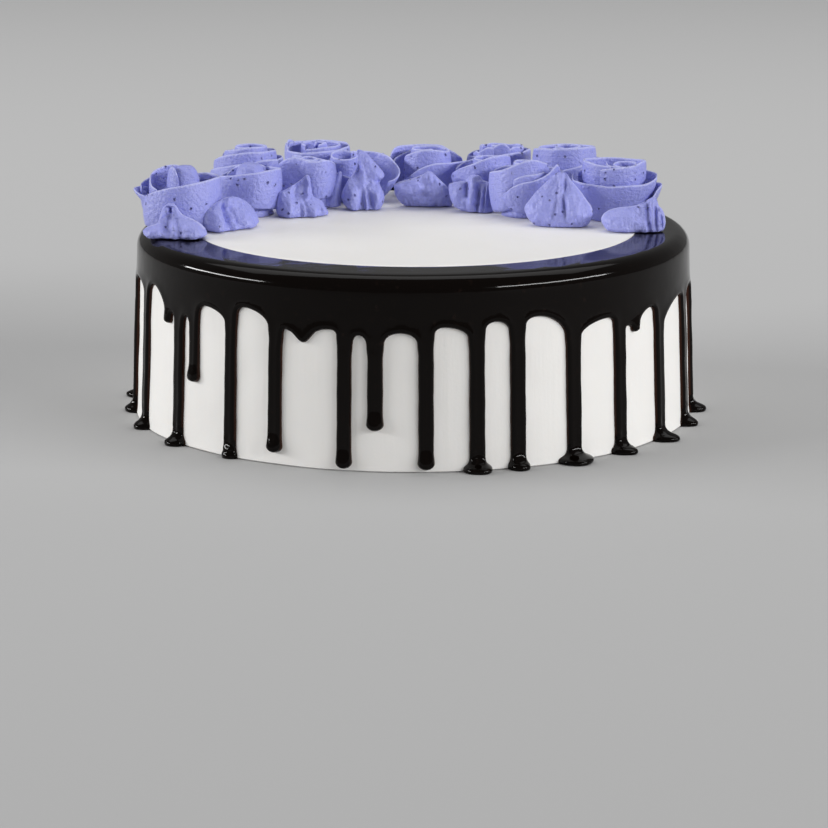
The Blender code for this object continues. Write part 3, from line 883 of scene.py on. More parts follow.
# %% Make the piece
shape = bmesh.new()
share_layer = shape.verts.layers.float.new("thin")
corners = []
for point, share in zip(points, thin_share):
    corner = shape.verts.new(point)
    corner[share_layer] = share
    corners.append(corner)
for face in faces:
    shape.faces.new([corners[index] for index in face])
bmesh.ops.remove_doubles(shape, verts=shape.verts, dist=0.000002)
bmesh.ops.recalc_face_normals(shape, faces=shape.faces)
open_edges = sum(1 for line in shape.edges if len(line.link_faces) != 2)
mesh = bpy.data.meshes.new("drip_glaze")
shape.to_mesh(mesh)
shape.free()
drip_glaze = bpy.data.objects.new("drip_glaze", mesh)
bpy.context.scene.collection.objects.link(drip_glaze)
count = finish_piece(drip_glaze, "drip_glaze", glaze, "chocolate_glaze")
print("glaze:", count, "triangles,", open_edges, "open edges")

# %% [markdown]
# ## A piped petal
# Each petal is a band of cream that left the flat nozzle standing up: thick at
# its foot, thin at its rim, bent along the turn of the hand. A flat grid is put
# between two rails, a foot and a rim, Solidify gives it a wall that thins
# towards the rim, and Subdivision Surface rounds it off.

# %% Make the petal tool
FLOWER_FLOOR = CAKE_HEIGHT + 0.3
# How far a petal bellies out, as a share of its height, and how far its ends thin out.
BELLY = 0.06
TAPER = 2.5
PETAL_ROWS = 8
PLAIN_RUFFLE = 0.07


def smooth_run(stations, count):
    """Points along a soft curve through the stations, evenly spread."""
    stations = np.array(stations, float)
    padded = np.vstack([2 * stations[0] - stations[1], stations, 2 * stations[-1] - stations[-2]])
    fine = []
    for place in range(len(stations) - 1):
        a, b, c, d = padded[place:place + 4]
        for share in np.linspace(0.0, 1.0, 24, endpoint=False):
            soft = 2 * b + (c - a) * share + (2 * a - 5 * b + 4 * c - d) * share ** 2
            fine.append(0.5 * (soft + (3 * b - a - 3 * c + d) * share ** 3))
    fine.append(stations[-1])
    fine = np.array(fine)
    length = np.concatenate([[0.0], np.cumsum(np.linalg.norm(np.diff(fine[:, -3:], axis=0), axis=1))])
    even = np.linspace(0.0, length[-1], count)
    run = [np.interp(even, length, fine[:, axis]) for axis in range(fine.shape[1])]
    return np.stack(run, 1), length[-1]


def turn_rails(stations, middle=(0.0, 0.0)):
    """Rails from stations of turn, foot radius, rim radius, foot height, rim height."""
    rails = []
    for turn, foot, rim, low, high in stations:
        start, end = around(turn, foot, low), around(turn, rim, high)
        foot_end = (start.x + middle[0], start.y + middle[1], low)
        rails.append((*foot_end, end.x + middle[0], end.y + middle[1], high))
    return rails


def mark_rim_light(piece, shares):
    """Keeps how near each point is to the thin rim, for the finish's painted rim highlight."""
    piece.data.attributes.new("rim", "FLOAT", "POINT")
    piece.data.attributes["rim"].data.foreach_set("value", shares)


def make_petal(centre, rails, ruffle, seed, thick=2.1):
    """One petal between two rails, in mm about a rose's centre."""
    steps = len(rails) * 8
    run, length = smooth_run(rails, steps)
    columns = max(8, round(length / 1.35))
    run, length = smooth_run(rails, columns + 1)
    height = float(np.linalg.norm(run[:, 3:] - run[:, :3], axis=1).mean())
    bpy.ops.mesh.primitive_grid_add(x_subdivisions=columns, y_subdivisions=PETAL_ROWS, size=2.0)
    petal = bpy.context.object
    body = petal.vertex_groups.new(name="body")
    draw = random.Random(seed)
    phase = [draw.uniform(0.0, 6.28) for _ in range(6)]
    placed, rim_light_share = {}, []
    for vertex in petal.data.vertices:
        share, up = 0.5 * (vertex.co.x + 1.0), 0.5 * (vertex.co.y + 1.0)
        row = run[round(share * columns)]
        foot, rim = Vector(row[:3]), Vector(row[3:])
        out = Vector((foot.x + rim.x, foot.y + rim.y, 0.0))
        out = out.normalized() if out.length > 0.001 else Vector((1.0, 0.0, 0.0))
        point = foot.lerp(rim, up) + out * BELLY * height * 4.0 * up * (1.0 - up)
        along = share * length
        wave = sin(along / 1.9 + phase[0]) + 0.7 * sin(along / 0.83 + phase[1])
        wave += 0.8 * sin(along / 4.1 + phase[2])
        point.z += 0.5 * ruffle * wave * up ** 3
        dent = sin(along / 2.7 + phase[3] + 2.0 * up) + 0.8 * sin(along / 1.3 + phase[4] - 3.0 * up)
        point += out * (0.09 + 0.5 * ruffle * up * up) * dent
        end = min(along, length - along)
        wall = (1.0 - 0.78 * up ** 0.8) * min(1.0, 0.35 + 0.65 * end / TAPER)
        body.add([vertex.index], wall, "REPLACE")
        placed[vertex.index] = (along, up * height)
        # The top row of the petal gets the painted rim highlight.
        rim_light_share.append(max(0.0, up * PETAL_ROWS - (PETAL_ROWS - 1)))
        vertex.co = centre + point * MM
    mark_rim_light(petal, rim_light_share)
    petal.data.uv_layers[0].name = "drag"
    for loop in petal.data.loops:
        petal.data.uv_layers[0].data[loop.index].uv = placed[loop.vertex_index]
    wall = {"thickness": thick * MM, "offset": 0.0, "thickness_vertex_group": 0.12}
    apply_modifier(petal, "SOLIDIFY", vertex_group="body", **wall)
    apply_modifier(petal, "SUBSURF", levels=1, render_levels=1)
    petal.vertex_groups.clear()
    return petal


def make_heart(centre, foot, waist, top, height, seed):
    """The lump of cream that a rose's petals are pressed on to."""
    bpy.ops.mesh.primitive_uv_sphere_add(segments=36, ring_count=18, radius=1.0)
    heart = bpy.context.object
    draw = random.Random(seed)
    phase = draw.uniform(0.0, 6.28)
    for vertex in heart.data.vertices:
        turn = atan2(vertex.co.y, vertex.co.x)
        level = asin(max(-1.0, min(1.0, vertex.co.z))) / (0.5 * pi)
        if level < -0.55:
            radius, z = foot * (level + 1.0) / 0.45, 0.0
        else:
            up = (level + 0.55) / 1.55
            radius = (foot + (waist - foot) * sin(min(1.0, up / 0.4) * 0.5 * pi)) * (1.0 - up)
            radius += top * (1.0 - up) ** 0.5 * up
            z = height * (1.0 - (1.0 - up) ** 1.7)
        radius *= 1.0 + 0.03 * sin(3.0 * turn + phase) + 0.02 * sin(5.0 * turn - phase)
        vertex.co = centre + Vector((radius * cos(turn), radius * sin(turn), z)) * MM
    heart.data.uv_layers[0].name = "drag"
    for loop in heart.data.uv_layers[0].data:
        loop.uv = (loop.uv[0] * 60.0, loop.uv[1] * 30.0)
    return heart


print("petal tool is ready")

# %% [markdown]
# ## The roses
# No two roses are alike: the hand turned faster or slower and stopped where it
# liked. So each has its own list of petals. A petal's stations run round the
# rose: turn, radius at the foot and at the rim, height of the foot and of the
# rim. Turn 0 faces the front and 90 the right.

# %% List the petals
ROSES = {
    1: ((-90, -1), (11.5, 10.5, 5, 17)),
    2: ((-64, 26.5), (9.6, 9, 4, 13)),
    3: ((-42, 44), (9.4, 8.4, 3.5, 15)),
    4: ((-22, 60), (9.4, 7, 2, 11)),
    5: ((5.5, 71), (12.5, 11.2, 5, 14.5)),
    6: ((28.5, 51), (8.8, 8.4, 4, 14)),
    7: ((44.5, 26), (10.4, 10.4, 4.5, 15)),
    8: ((77.5, 18), (10.6, 12, 5.5, 15)),
    9: ((-66, 56), (12.5, 11.5, 4.5, 17)),
    10: ((-38.5, 80.5), (11.5, 10.5, 4, 14.5)),
    11: ((34, 79.5), (11.6, 10.6, 4.5, 14.5)),
    12: ((60, 58), (13, 12, 5, 16.5)),
}
PETALS = {
    1: (
        (
            (256, 11.3, 11.6, 1, 12.6), (276, 11.2, 11.6, 1, 11.8), (302, 12.8, 13.2, 1, 13.1),
            (330, 14.4, 14.8, 1, 15.4), (353, 15, 15.3, 1, 17.2), (378, 15.1, 15.5, 1, 18.3),
            (404, 15.1, 15.7, 1, 19.2), (430, 15, 15.9, 1, 19.6), (459, 14.8, 15.8, 1, 19.2),
            (491, 13.6, 14.6, 1.5, 19.2), (520, 11.5, 13, 2, 18.2),
        ),
        (
            (246, 11, 12.6, 8, 14.4), (258, 11.2, 15.4, 9, 14.8), (268, 11.4, 16.8, 9.5, 14.4),
            (280, 11.6, 14.6, 9, 12.8), (296, 12.2, 13.2, 8, 12.6),
        ),
        (
            (140, 10.5, 12.8, 1, 17.5), (175, 11, 13.4, 1, 18.2), (215, 11.4, 14, 1, 18),
            (250, 11.4, 14.4, 1, 16.5), (275, 10.8, 13.4, 3, 15),
        ),
        (
            (130, 7, 8.6, 5, 19.8), (160, 7.6, 9.4, 5, 21.2), (192, 8, 10, 5, 22.2),
            (229, 8, 10.2, 5, 21.2), (262, 8, 10.4, 5, 19.2), (296, 8, 10.6, 4, 16.6),
            (318, 8, 10.2, 4, 15),
        ),
    ),
    2: (
        (
            (284, 10.6, 11.9, 4, 15.4), (310, 11, 12.2, 3.6, 16.2), (334, 11.2, 12.3, 3.6, 16.9),
            (367, 11.4, 12.4, 3.8, 17.8), (391, 11.4, 12.5, 3.4, 18.5), (420, 11.2, 12.4, 2.6, 18.7),
            (445, 10.8, 12.2, 2, 18.2), (475, 10, 11.6, 1, 17.6), (510, 9.4, 11, 1, 17.4),
        ),
        (
            (248, 8.6, 10.2, 2, 13.6), (226, 8.6, 10.2, 2, 16.2), (205, 8.6, 10.2, 2, 17.8),
            (185, 8.6, 10.1, 2, 18.6), (160, 8.5, 9.9, 2, 18.3), (138, 8, 9.4, 2, 17.6),
        ),
        (
            (292, 9.4, 11.6, 1, 13), (270, 9.4, 11.8, 1, 13.6), (240, 9.6, 12, 1, 14.6),
            (210, 9.8, 12.2, 1, 15.6), (180, 9.8, 12.2, 1, 16.2),
        ),
        (
            (190, 9.6, 11, 2, 17.4), (165, 10.2, 11.6, 2, 18.8), (140, 10.4, 12.2, 2, 20),
            (117, 10.4, 12.6, 2, 20.6),
        ),
    ),
    3: (
        (
            (262, 9, 10.4, 1, 14.6), (280, 9.5, 10.8, 1, 17.2), (298, 8.6, 9.9, 1, 19.2),
            (316, 6.9, 8.2, 1, 20.3), (334, 6.1, 7.4, 1, 20.7), (352, 7, 8, 1, 20.2),
            (370, 8.8, 9.4, 2.5, 19.4), (384, 9.6, 10.3, 3.8, 19.4), (403, 9.9, 10.8, 4.2, 19.8),
            (425, 9.8, 10.8, 4.4, 18.8), (452, 9.6, 10.8, 4, 17.2), (485, 9, 10.2, 3, 17.4),
            (525, 8.6, 9.8, 2, 18), (565, 8.6, 9.8, 1, 18.2), (600, 8.6, 10, 1, 17.4),
            (622, 8.8, 10.2, 1, 16.4),
        ),
        (
            (200, 5.2, 5.8, 4, 19.3), (250, 5.2, 5.8, 4, 20), (310, 4.8, 5.4, 4, 20.2),
            (360, 4.2, 4.8, 4, 19.4), (420, 3.8, 4.4, 4, 19.2), (490, 3.4, 4, 4, 19.3),
            (560, 2.8, 3.2, 4, 19.5), (640, 1.8, 2.2, 4, 19.4),
        ),
    ),
    4: (
        (
            (178, 9.4, 12.6, 2, 18), (147, 9.4, 13.2, 2, 17.5), (118, 9.6, 13.6, 2, 16.6),
            (98, 9.8, 15, 2, 14.8), (82, 9.8, 16.9, 2, 11.8), (70, 9.6, 16.2, 2, 9.6),
            (58, 9.4, 14, 2, 8.4),
        ),
        (
            (186, 9.4, 12.2, 1, 17.8), (215, 9.4, 12, 1, 17.6), (245, 9.4, 12, 1, 16.6),
            (275, 9.2, 11.8, 1, 14.6), (305, 9, 11.2, 1, 12.5), (335, 9, 10.8, 1, 11),
            (10, 9, 10.8, 1, 9.5), (40, 9, 11.5, 1, 8.6),
        ),
    ),
    5: (
        (
            (262, 12.4, 15, 2, 15.2), (240, 12.5, 14.8, 2, 18.4), (199, 12.5, 14.4, 2, 18.6),
            (158, 12.5, 14.2, 2, 18.5), (143, 12.5, 14, 2, 17.2), (120, 12.5, 14, 2, 15.8),
            (92, 12.4, 14, 2, 15),
        ),
        (
            (275, 10.4, 13.4, 2, 13), (258, 10.2, 12.8, 2, 14.8), (235, 10, 12.2, 3, 15.8),
            (205, 9.8, 11.6, 3, 17.2), (180, 9.5, 11, 3, 18),
        ),
        (
            (262, 7.4, 8.9, 3, 14), (290, 7.6, 9, 3, 16.4), (307, 7.8, 9, 3, 17.6), (342, 8, 8.9, 3, 19.4),
            (380, 8, 8.8, 3, 19.7), (424, 8, 8.8, 3, 18.5), (460, 7.6, 8.5, 3, 18.6), (510, 7, 8, 3, 19),
            (570, 6.2, 7, 3, 19.2), (630, 5.2, 5.9, 4, 19.2), (700, 4, 4.5, 4, 19.2),
            (780, 2.6, 2.9, 5, 19),
        ),
        (
            (308, 11.6, 12.6, 2, 7), (329, 12, 13.4, 1.5, 9.5), (345, 12.2, 13.8, 1.5, 12.4),
            (367, 12.4, 14, 1.5, 14.6), (397, 12.4, 14.5, 2, 15), (420, 12.4, 15, 4.5, 14.8),
            (438, 12.8, 15.4, 8.5, 14.4), (449, 14, 15.8, 12, 14.2),
        ),
        ((282, 12, 13.5, 1, 11), (262, 12, 14, 1, 12)),
    ),
    6: (
        (
            (264, 10.2, 12.8, 6.5, 10.6), (276, 10.4, 12.8, 6.4, 12.2), (295, 10.4, 12.1, 5.6, 14.4),
            (327, 9.8, 11.3, 4, 17), (350, 9.6, 10.7, 3, 18.8), (370, 9.2, 10.2, 3, 20),
            (399, 8.8, 9.7, 3, 20.6), (425, 8.4, 9.4, 3, 20), (455, 8.2, 9.4, 3, 18.8),
            (500, 8.2, 9.8, 2, 18), (550, 8.4, 10.2, 1, 17), (595, 8.8, 11, 1, 15.4),
            (620, 9, 11.6, 2, 13.6),
        ),
        (
            (30, 4.8, 5.8, 5, 18.4), (100, 4.6, 5.6, 5, 18.6), (180, 4, 5, 5, 18.5),
            (260, 3.5, 4.5, 5, 18.2), (340, 2.8, 3.6, 5, 18), (430, 1.6, 2.2, 5, 17.8),
        ),
    ),
    7: (
        (
            (266, 12.6, 14.8, 1, 16.4), (280, 12.2, 14.2, 1, 17.2), (305, 11.2, 12.7, 2, 18.6),
            (322, 10.2, 11.2, 3, 20), (344, 9, 9.7, 4, 21.8), (368, 8.2, 8.7, 4, 22.8),
            (390, 7.6, 8.1, 4, 22), (420, 7, 7.7, 4, 20.6), (460, 6.6, 7.3, 4, 20),
            (520, 6.2, 6.9, 4, 20.2), (580, 5.6, 6.3, 4, 20.6), (650, 4.6, 5.1, 4, 20.6),
            (720, 3.2, 3.7, 4, 20.4), (790, 1.8, 2.1, 5, 20),
        ),
        (
            (306, 10.4, 12.8, 6.5, 7.8), (316, 10.6, 13.4, 5, 9.4), (331, 11, 13.9, 3, 12.2),
            (348, 11, 14, 2, 14.2), (372, 11, 14, 2, 15.7), (391, 11, 14.2, 2, 17.6),
            (402, 11, 14.6, 2, 20), (409, 11.2, 14.9, 2, 21.4), (417, 11.2, 14.4, 2, 18.6),
            (440, 11, 14, 2, 17), (480, 10.6, 13.4, 2, 17), (525, 10.4, 13, 2, 17.5),
            (570, 10.4, 13.2, 2, 17.5), (612, 11, 13.8, 2, 17),
        ),
        (
            (330, 10.4, 11.8, 2, 15.2), (350, 10, 11.2, 2, 16.8), (15, 9.6, 10.8, 2, 17.4),
            (40, 9.4, 10.4, 3, 18),
        ),
    ),
    8: (
        (
            (255, 9.6, 16, 1, 16.8), (285, 9.5, 16.8, 1, 15.9), (309, 9.5, 17, 1, 15.5),
            (336, 9.5, 17, 1, 15.1), (353, 9.5, 17, 1, 14.8), (377, 9.5, 17, 1, 15.1),
            (398, 9.5, 17, 1, 15.1), (417, 9.8, 17, 1, 15.8), (433, 10, 17, 1, 17), (464, 10, 16.8, 1, 17),
            (504, 10, 16.2, 1, 17.2), (545, 10, 15.4, 1, 17.6), (585, 10, 14.8, 1.5, 17.6),
            (612, 10, 14.2, 2, 17.2),
        ),
        (
            (328, 9, 11.2, 6, 20.2), (350, 9.4, 11.6, 6, 21), (375, 9.6, 11.8, 6, 21.4),
            (400, 9.6, 11.9, 6, 22), (420, 9.6, 12, 6, 22.8), (450, 9.4, 12, 6, 22.6),
            (490, 9.2, 11.6, 6, 21.8), (540, 9, 11.4, 6, 21.8), (590, 9, 11.4, 6, 22.2),
            (630, 9, 11.6, 6, 22.8), (660, 9.1, 11.6, 6, 22.8), (684, 8.7, 11, 6, 22),
            (712, 7.8, 9.8, 6, 21.6),
        ),
        (
            (40, 11.4, 16.6, 1, 6.2), (52, 11.8, 17.8, 1, 9), (64, 12, 18.4, 1, 12.2),
            (80, 12.2, 18.6, 1, 13.4), (100, 12.2, 18.2, 1, 13.2), (128, 11.8, 17.2, 1, 12),
        ),
    ),
    9: (
        (
            (262, 12, 14.2, 1, 12), (290, 12.3, 14.3, 1, 13.8), (334, 12.5, 14.3, 1, 16.3),
            (365, 12.5, 14.2, 1, 17.6), (405, 12.4, 14, 1, 18), (450, 12, 14, 1, 18),
            (490, 11.6, 14, 1, 17.5), (530, 11.2, 14, 1, 17), (575, 11.2, 14, 1, 16),
            (612, 11.5, 14, 1, 14),
        ),
        (
            (252, 10.4, 12.8, 4, 15.2), (285, 10.8, 12.9, 4, 17.5), (325, 11, 12.6, 4, 20.2),
            (361, 11, 12.1, 4, 21.4), (395, 10.5, 11.6, 4, 21.4), (440, 10.2, 11.2, 4, 21),
            (480, 9.8, 10.9, 4, 20.5), (525, 9.5, 10.8, 4, 20.3), (575, 9, 10.8, 4, 19.6),
            (612, 9, 10.4, 4, 18.8),
        ),
        (
            (225, 6.6, 8.6, 6, 19), (280, 6.8, 8.6, 6, 20.7), (330, 7, 8.4, 6, 22), (375, 7, 8.2, 6, 22.9),
            (420, 6.8, 8, 6, 22.8), (470, 6, 7.4, 6, 22.4), (530, 5.2, 6.4, 6, 22.3),
            (600, 4.2, 5.2, 6, 22.2), (680, 3, 3.8, 6, 22.2), (760, 1.6, 2.2, 7, 22),
        ),
    ),
    10: (
        (
            (250, 10.5, 12.2, 2, 18.8), (285, 10.8, 12.4, 1, 17.4), (320, 10.8, 12.4, 1, 17.3),
            (360, 10.6, 12.4, 1, 18), (405, 10.5, 12.4, 1, 18.6), (450, 10.5, 12.5, 1, 19.2),
            (495, 10.5, 12.4, 1, 19.3), (540, 10.5, 12.2, 1, 19.2), (585, 10.5, 12.2, 1, 19.3),
            (615, 10.3, 12.5, 2, 19.7),
        ),
        (
            (328, 6.6, 9, 5, 18.4), (370, 6.7, 9.2, 5, 19.1), (415, 6.6, 9.2, 5, 19.6),
            (470, 6.2, 8.4, 5, 19.8), (540, 5.6, 7.6, 5, 19.8), (610, 5, 6.8, 5, 19.7),
            (665, 4.4, 6, 5, 19.4),
        ),
        ((0, 2.8, 3.6, 6, 19.6), (90, 2.6, 3.4, 6, 20), (200, 2.1, 2.8, 6, 20), (320, 1.1, 1.7, 6, 19.8)),
        (
            (233, 10.6, 12, 5, 19.6), (246, 11, 13, 6, 20.6), (258, 11.2, 12.4, 6, 19.4),
            (268, 11, 13.2, 6, 20), (280, 10.8, 12.2, 5, 17.8),
        ),
    ),
    11: (
        (
            (255, 10.5, 12, 1, 14), (285, 10.6, 12.3, 1, 15.2), (320, 10.8, 12.2, 1, 16),
            (360, 10.8, 12.2, 1, 17), (405, 10.8, 12.4, 1, 17.5), (450, 10.8, 12.9, 1, 17.5),
            (495, 10.5, 12.7, 1, 17.3), (540, 10.5, 12.4, 1, 17), (585, 10.3, 12.2, 1, 15.8),
            (618, 10.4, 12.2, 1, 14.4),
        ),
        (
            (335, 5, 6.4, 7, 18), (350, 5.4, 6.8, 7, 19.6), (368, 6, 7.6, 7, 20.5),
            (384, 6.8, 8.6, 7, 20.2), (398, 7, 8.6, 7, 17.8),
        ),
        (
            (283, 7.6, 10, 5, 16.6), (300, 8, 9.4, 5, 17.8), (315, 8, 10.2, 5, 17.4),
            (332, 7, 8.4, 5, 19.2), (350, 6, 7.4, 5, 18.6),
        ),
        (
            (25, 6, 8.8, 6, 18.2), (50, 6.6, 9.2, 6, 19.4), (75, 6.8, 10.4, 6, 18.6),
            (100, 6.8, 10, 6, 18.8), (135, 6.2, 9, 6, 18.6), (185, 5.6, 8, 6, 18.8),
            (240, 5, 7.2, 6, 18.8), (285, 4.6, 6.4, 6, 18.6),
        ),
        (
            (0, 2.5, 3.4, 6, 18.4), (120, 2.3, 3.1, 6, 18.8), (240, 1.7, 2.5, 6, 18.8),
            (340, 1.1, 1.8, 6, 18.6),
        ),
    ),
    12: (
        (
            (258, 10.2, 11.8, 4, 20.4), (288, 10.4, 11.9, 4, 21.6), (335, 10.6, 11.9, 4, 22.5),
            (372, 10.6, 11.9, 4, 22.8), (405, 10.6, 11.9, 4, 22.8), (450, 10.4, 12, 4, 21.9),
            (495, 10, 11.7, 4, 21.3), (550, 9.4, 10.9, 4, 21.2), (610, 8.6, 10, 4, 21.4),
            (660, 7.8, 9, 5, 21.8), (710, 7, 8, 5, 22.2), (765, 6.2, 7.2, 5, 22.4),
            (830, 5.2, 6.1, 5, 22.3), (910, 4.2, 4.9, 5, 22), (1000, 3, 3.5, 5, 21.8),
            (1090, 1.6, 1.9, 6, 21.6),
        ),
        (
            (244, 12, 14.6, 1, 12.3), (290, 12, 14.5, 1, 13), (330, 12, 14.4, 1, 13.6),
            (352, 12, 14.5, 1, 14.2), (382, 12, 14.6, 1, 16), (410, 12, 14.7, 1, 17),
            (450, 12, 14.8, 1, 17), (500, 12, 14.7, 1, 16.6), (550, 12, 14.5, 1, 16),
            (598, 12, 14.5, 1, 13.4),
        ),
    ),
}
# Rims are nearly smooth: one rose has the smoothest, and two are crumpled.
RUFFLES = {8: 0.03, 10: 0.16, 11: 0.34}
# Smooth buds: number of the rose, place beside its centre, and its lump's sizes.
BUDS = {1: ((3.2, -0.6), (5.2, 5.6, 7.6, 23.5)), 2: ((0.6, -1), (5.6, 6.2, 8, 20.3))}
# Petals that turn about a place of their own: that place and their stations.
LOOSE = {
    1: (
        (
            3,
            -0.6,
            (
                (236, 5.6, 6, 5, 19), (262, 5.7, 5.7, 5, 21.6), (286, 5.8, 5.3, 5, 23.2),
                (312, 5.9, 5.4, 5, 23.4), (330, 6, 5.7, 5, 21.8), (341, 6.1, 5.9, 5, 18.8),
            ),
        ),
    ),
    4: (
        (
            -5.2,
            -2,
            (
                (150, 4.1, 5.6, 4, 18.8), (195, 4.1, 5.7, 4, 19.6), (240, 4.1, 5.7, 4, 19),
                (300, 4.1, 5.6, 4, 18), (360, 4, 5.5, 4, 17.4), (420, 4, 5.5, 4, 18.1),
                (480, 4.1, 5.6, 4, 19.3), (505, 4.1, 5.5, 4, 19.5),
            ),
        ),
    ),
    8: (
        (
            3.4,
            0.5,
            (
                (250, 4.9, 6.4, 6, 21.4), (300, 4.8, 6.2, 6, 20.9), (350, 4.6, 6, 6, 20.7),
                (410, 4.2, 5.6, 6, 20.9), (480, 4, 5.2, 6, 21.4), (560, 3.6, 4.6, 6, 21.2),
                (640, 2.8, 3.6, 6, 20.8), (700, 2, 2.6, 6, 20.4),
            ),
        ),
    ),
}
TONGUE = (
    (-13.4, -19.5, 0.3, -12.4, -14, 5), (-10.5, -20.8, 0.3, -9.6, -15, 10.5),
    (-8, -20.8, 0.3, -6.8, -16.6, 14.4), (-6.6, -18.5, 0.5, -6, -16, 13),
)
print("petals listed:", sum(len(petals) for petals in PETALS.values()))

# %% Pipe the roses
rose_triangles = 0
for number, ((x, y), heart) in ROSES.items():
    clear_selection()
    centre = Vector((x, y, FLOWER_FLOOR)) * MM
    foot, waist, top, height = heart
    parts = [make_heart(centre, foot, waist, top, height, number)]
    ruffle = RUFFLES.get(number, PLAIN_RUFFLE)
    for order, stations in enumerate(PETALS[number]):
        parts.append(make_petal(centre, turn_rails(stations), ruffle, 10 * number + order))
    if number in BUDS:
        (across, away), bud = BUDS[number]
        parts.append(make_heart(centre + Vector((across, away, 0.0)) * MM, *bud, 50 + number))
    for across, away, stations in LOOSE.get(number, ()):
        rails = turn_rails(stations, (across, away))
        parts.append(make_petal(centre, rails, ruffle, 45 + number))
    if number == 4:
        parts.append(make_petal(centre, TONGUE, PLAIN_RUFFLE, 46, thick=2.6))
    rose = join_pieces(parts)
    name = f"rose_{number:02d}"
    rose_triangles += finish_piece(rose, f"piped_{name}", lilac, name)
print("roses:", rose_triangles, "triangles")

# %% [markdown]
# ## The pulled leaves
# A leaf was pressed out as a blob and pulled off upward, so it has a broad
# two-lobed foot, a crease down its face and a thin tip. Its outline is a list of
# how far it reaches left and right at each level. A ball is pulled on to that
# outline, level by level, and its face is pushed in and out along its marks. A
# sculpting brush would do this too, but a list can be read and changed.

# %% List the leaves
# Place across and away, depth, height, the way it faces in degrees, lean of its tip.
LEAVES = {
    1: (-89.5, -25.5, 11, 12.6, -6, 2),
    2: (-68, -5.5, 10, 12, 40, 1.5),
    3: (-44, 22.8, 9.5, 15.6, 22, 1.5),
    4: (-19.5, 39, 9.5, 23.4, 8, 1.5),
    5: (4.3, 44.5, 10.5, 14.6, 0, -4.6),
    6: (21.5, 33.8, 9.5, 14.3, -16, 1),
    7: (56, -0.5, 10.5, 20.5, -9, 2),
    8: (83.5, -11.5, 10.5, 12.6, 0, 2),
    9: (-87, 29, 11, 14, 252, 2),
    10: (-53.5, 71.5, 8, 13, 220, 2),
    11: (-12, 94, 10, 14, 188, 2),
    12: (14, 93.5, 10, 13, 172, 2),
    13: (51.5, 76.5, 8, 13, 145, 2),
    14: (81.5, 45.5, 10.5, 14, 118, 2),
}
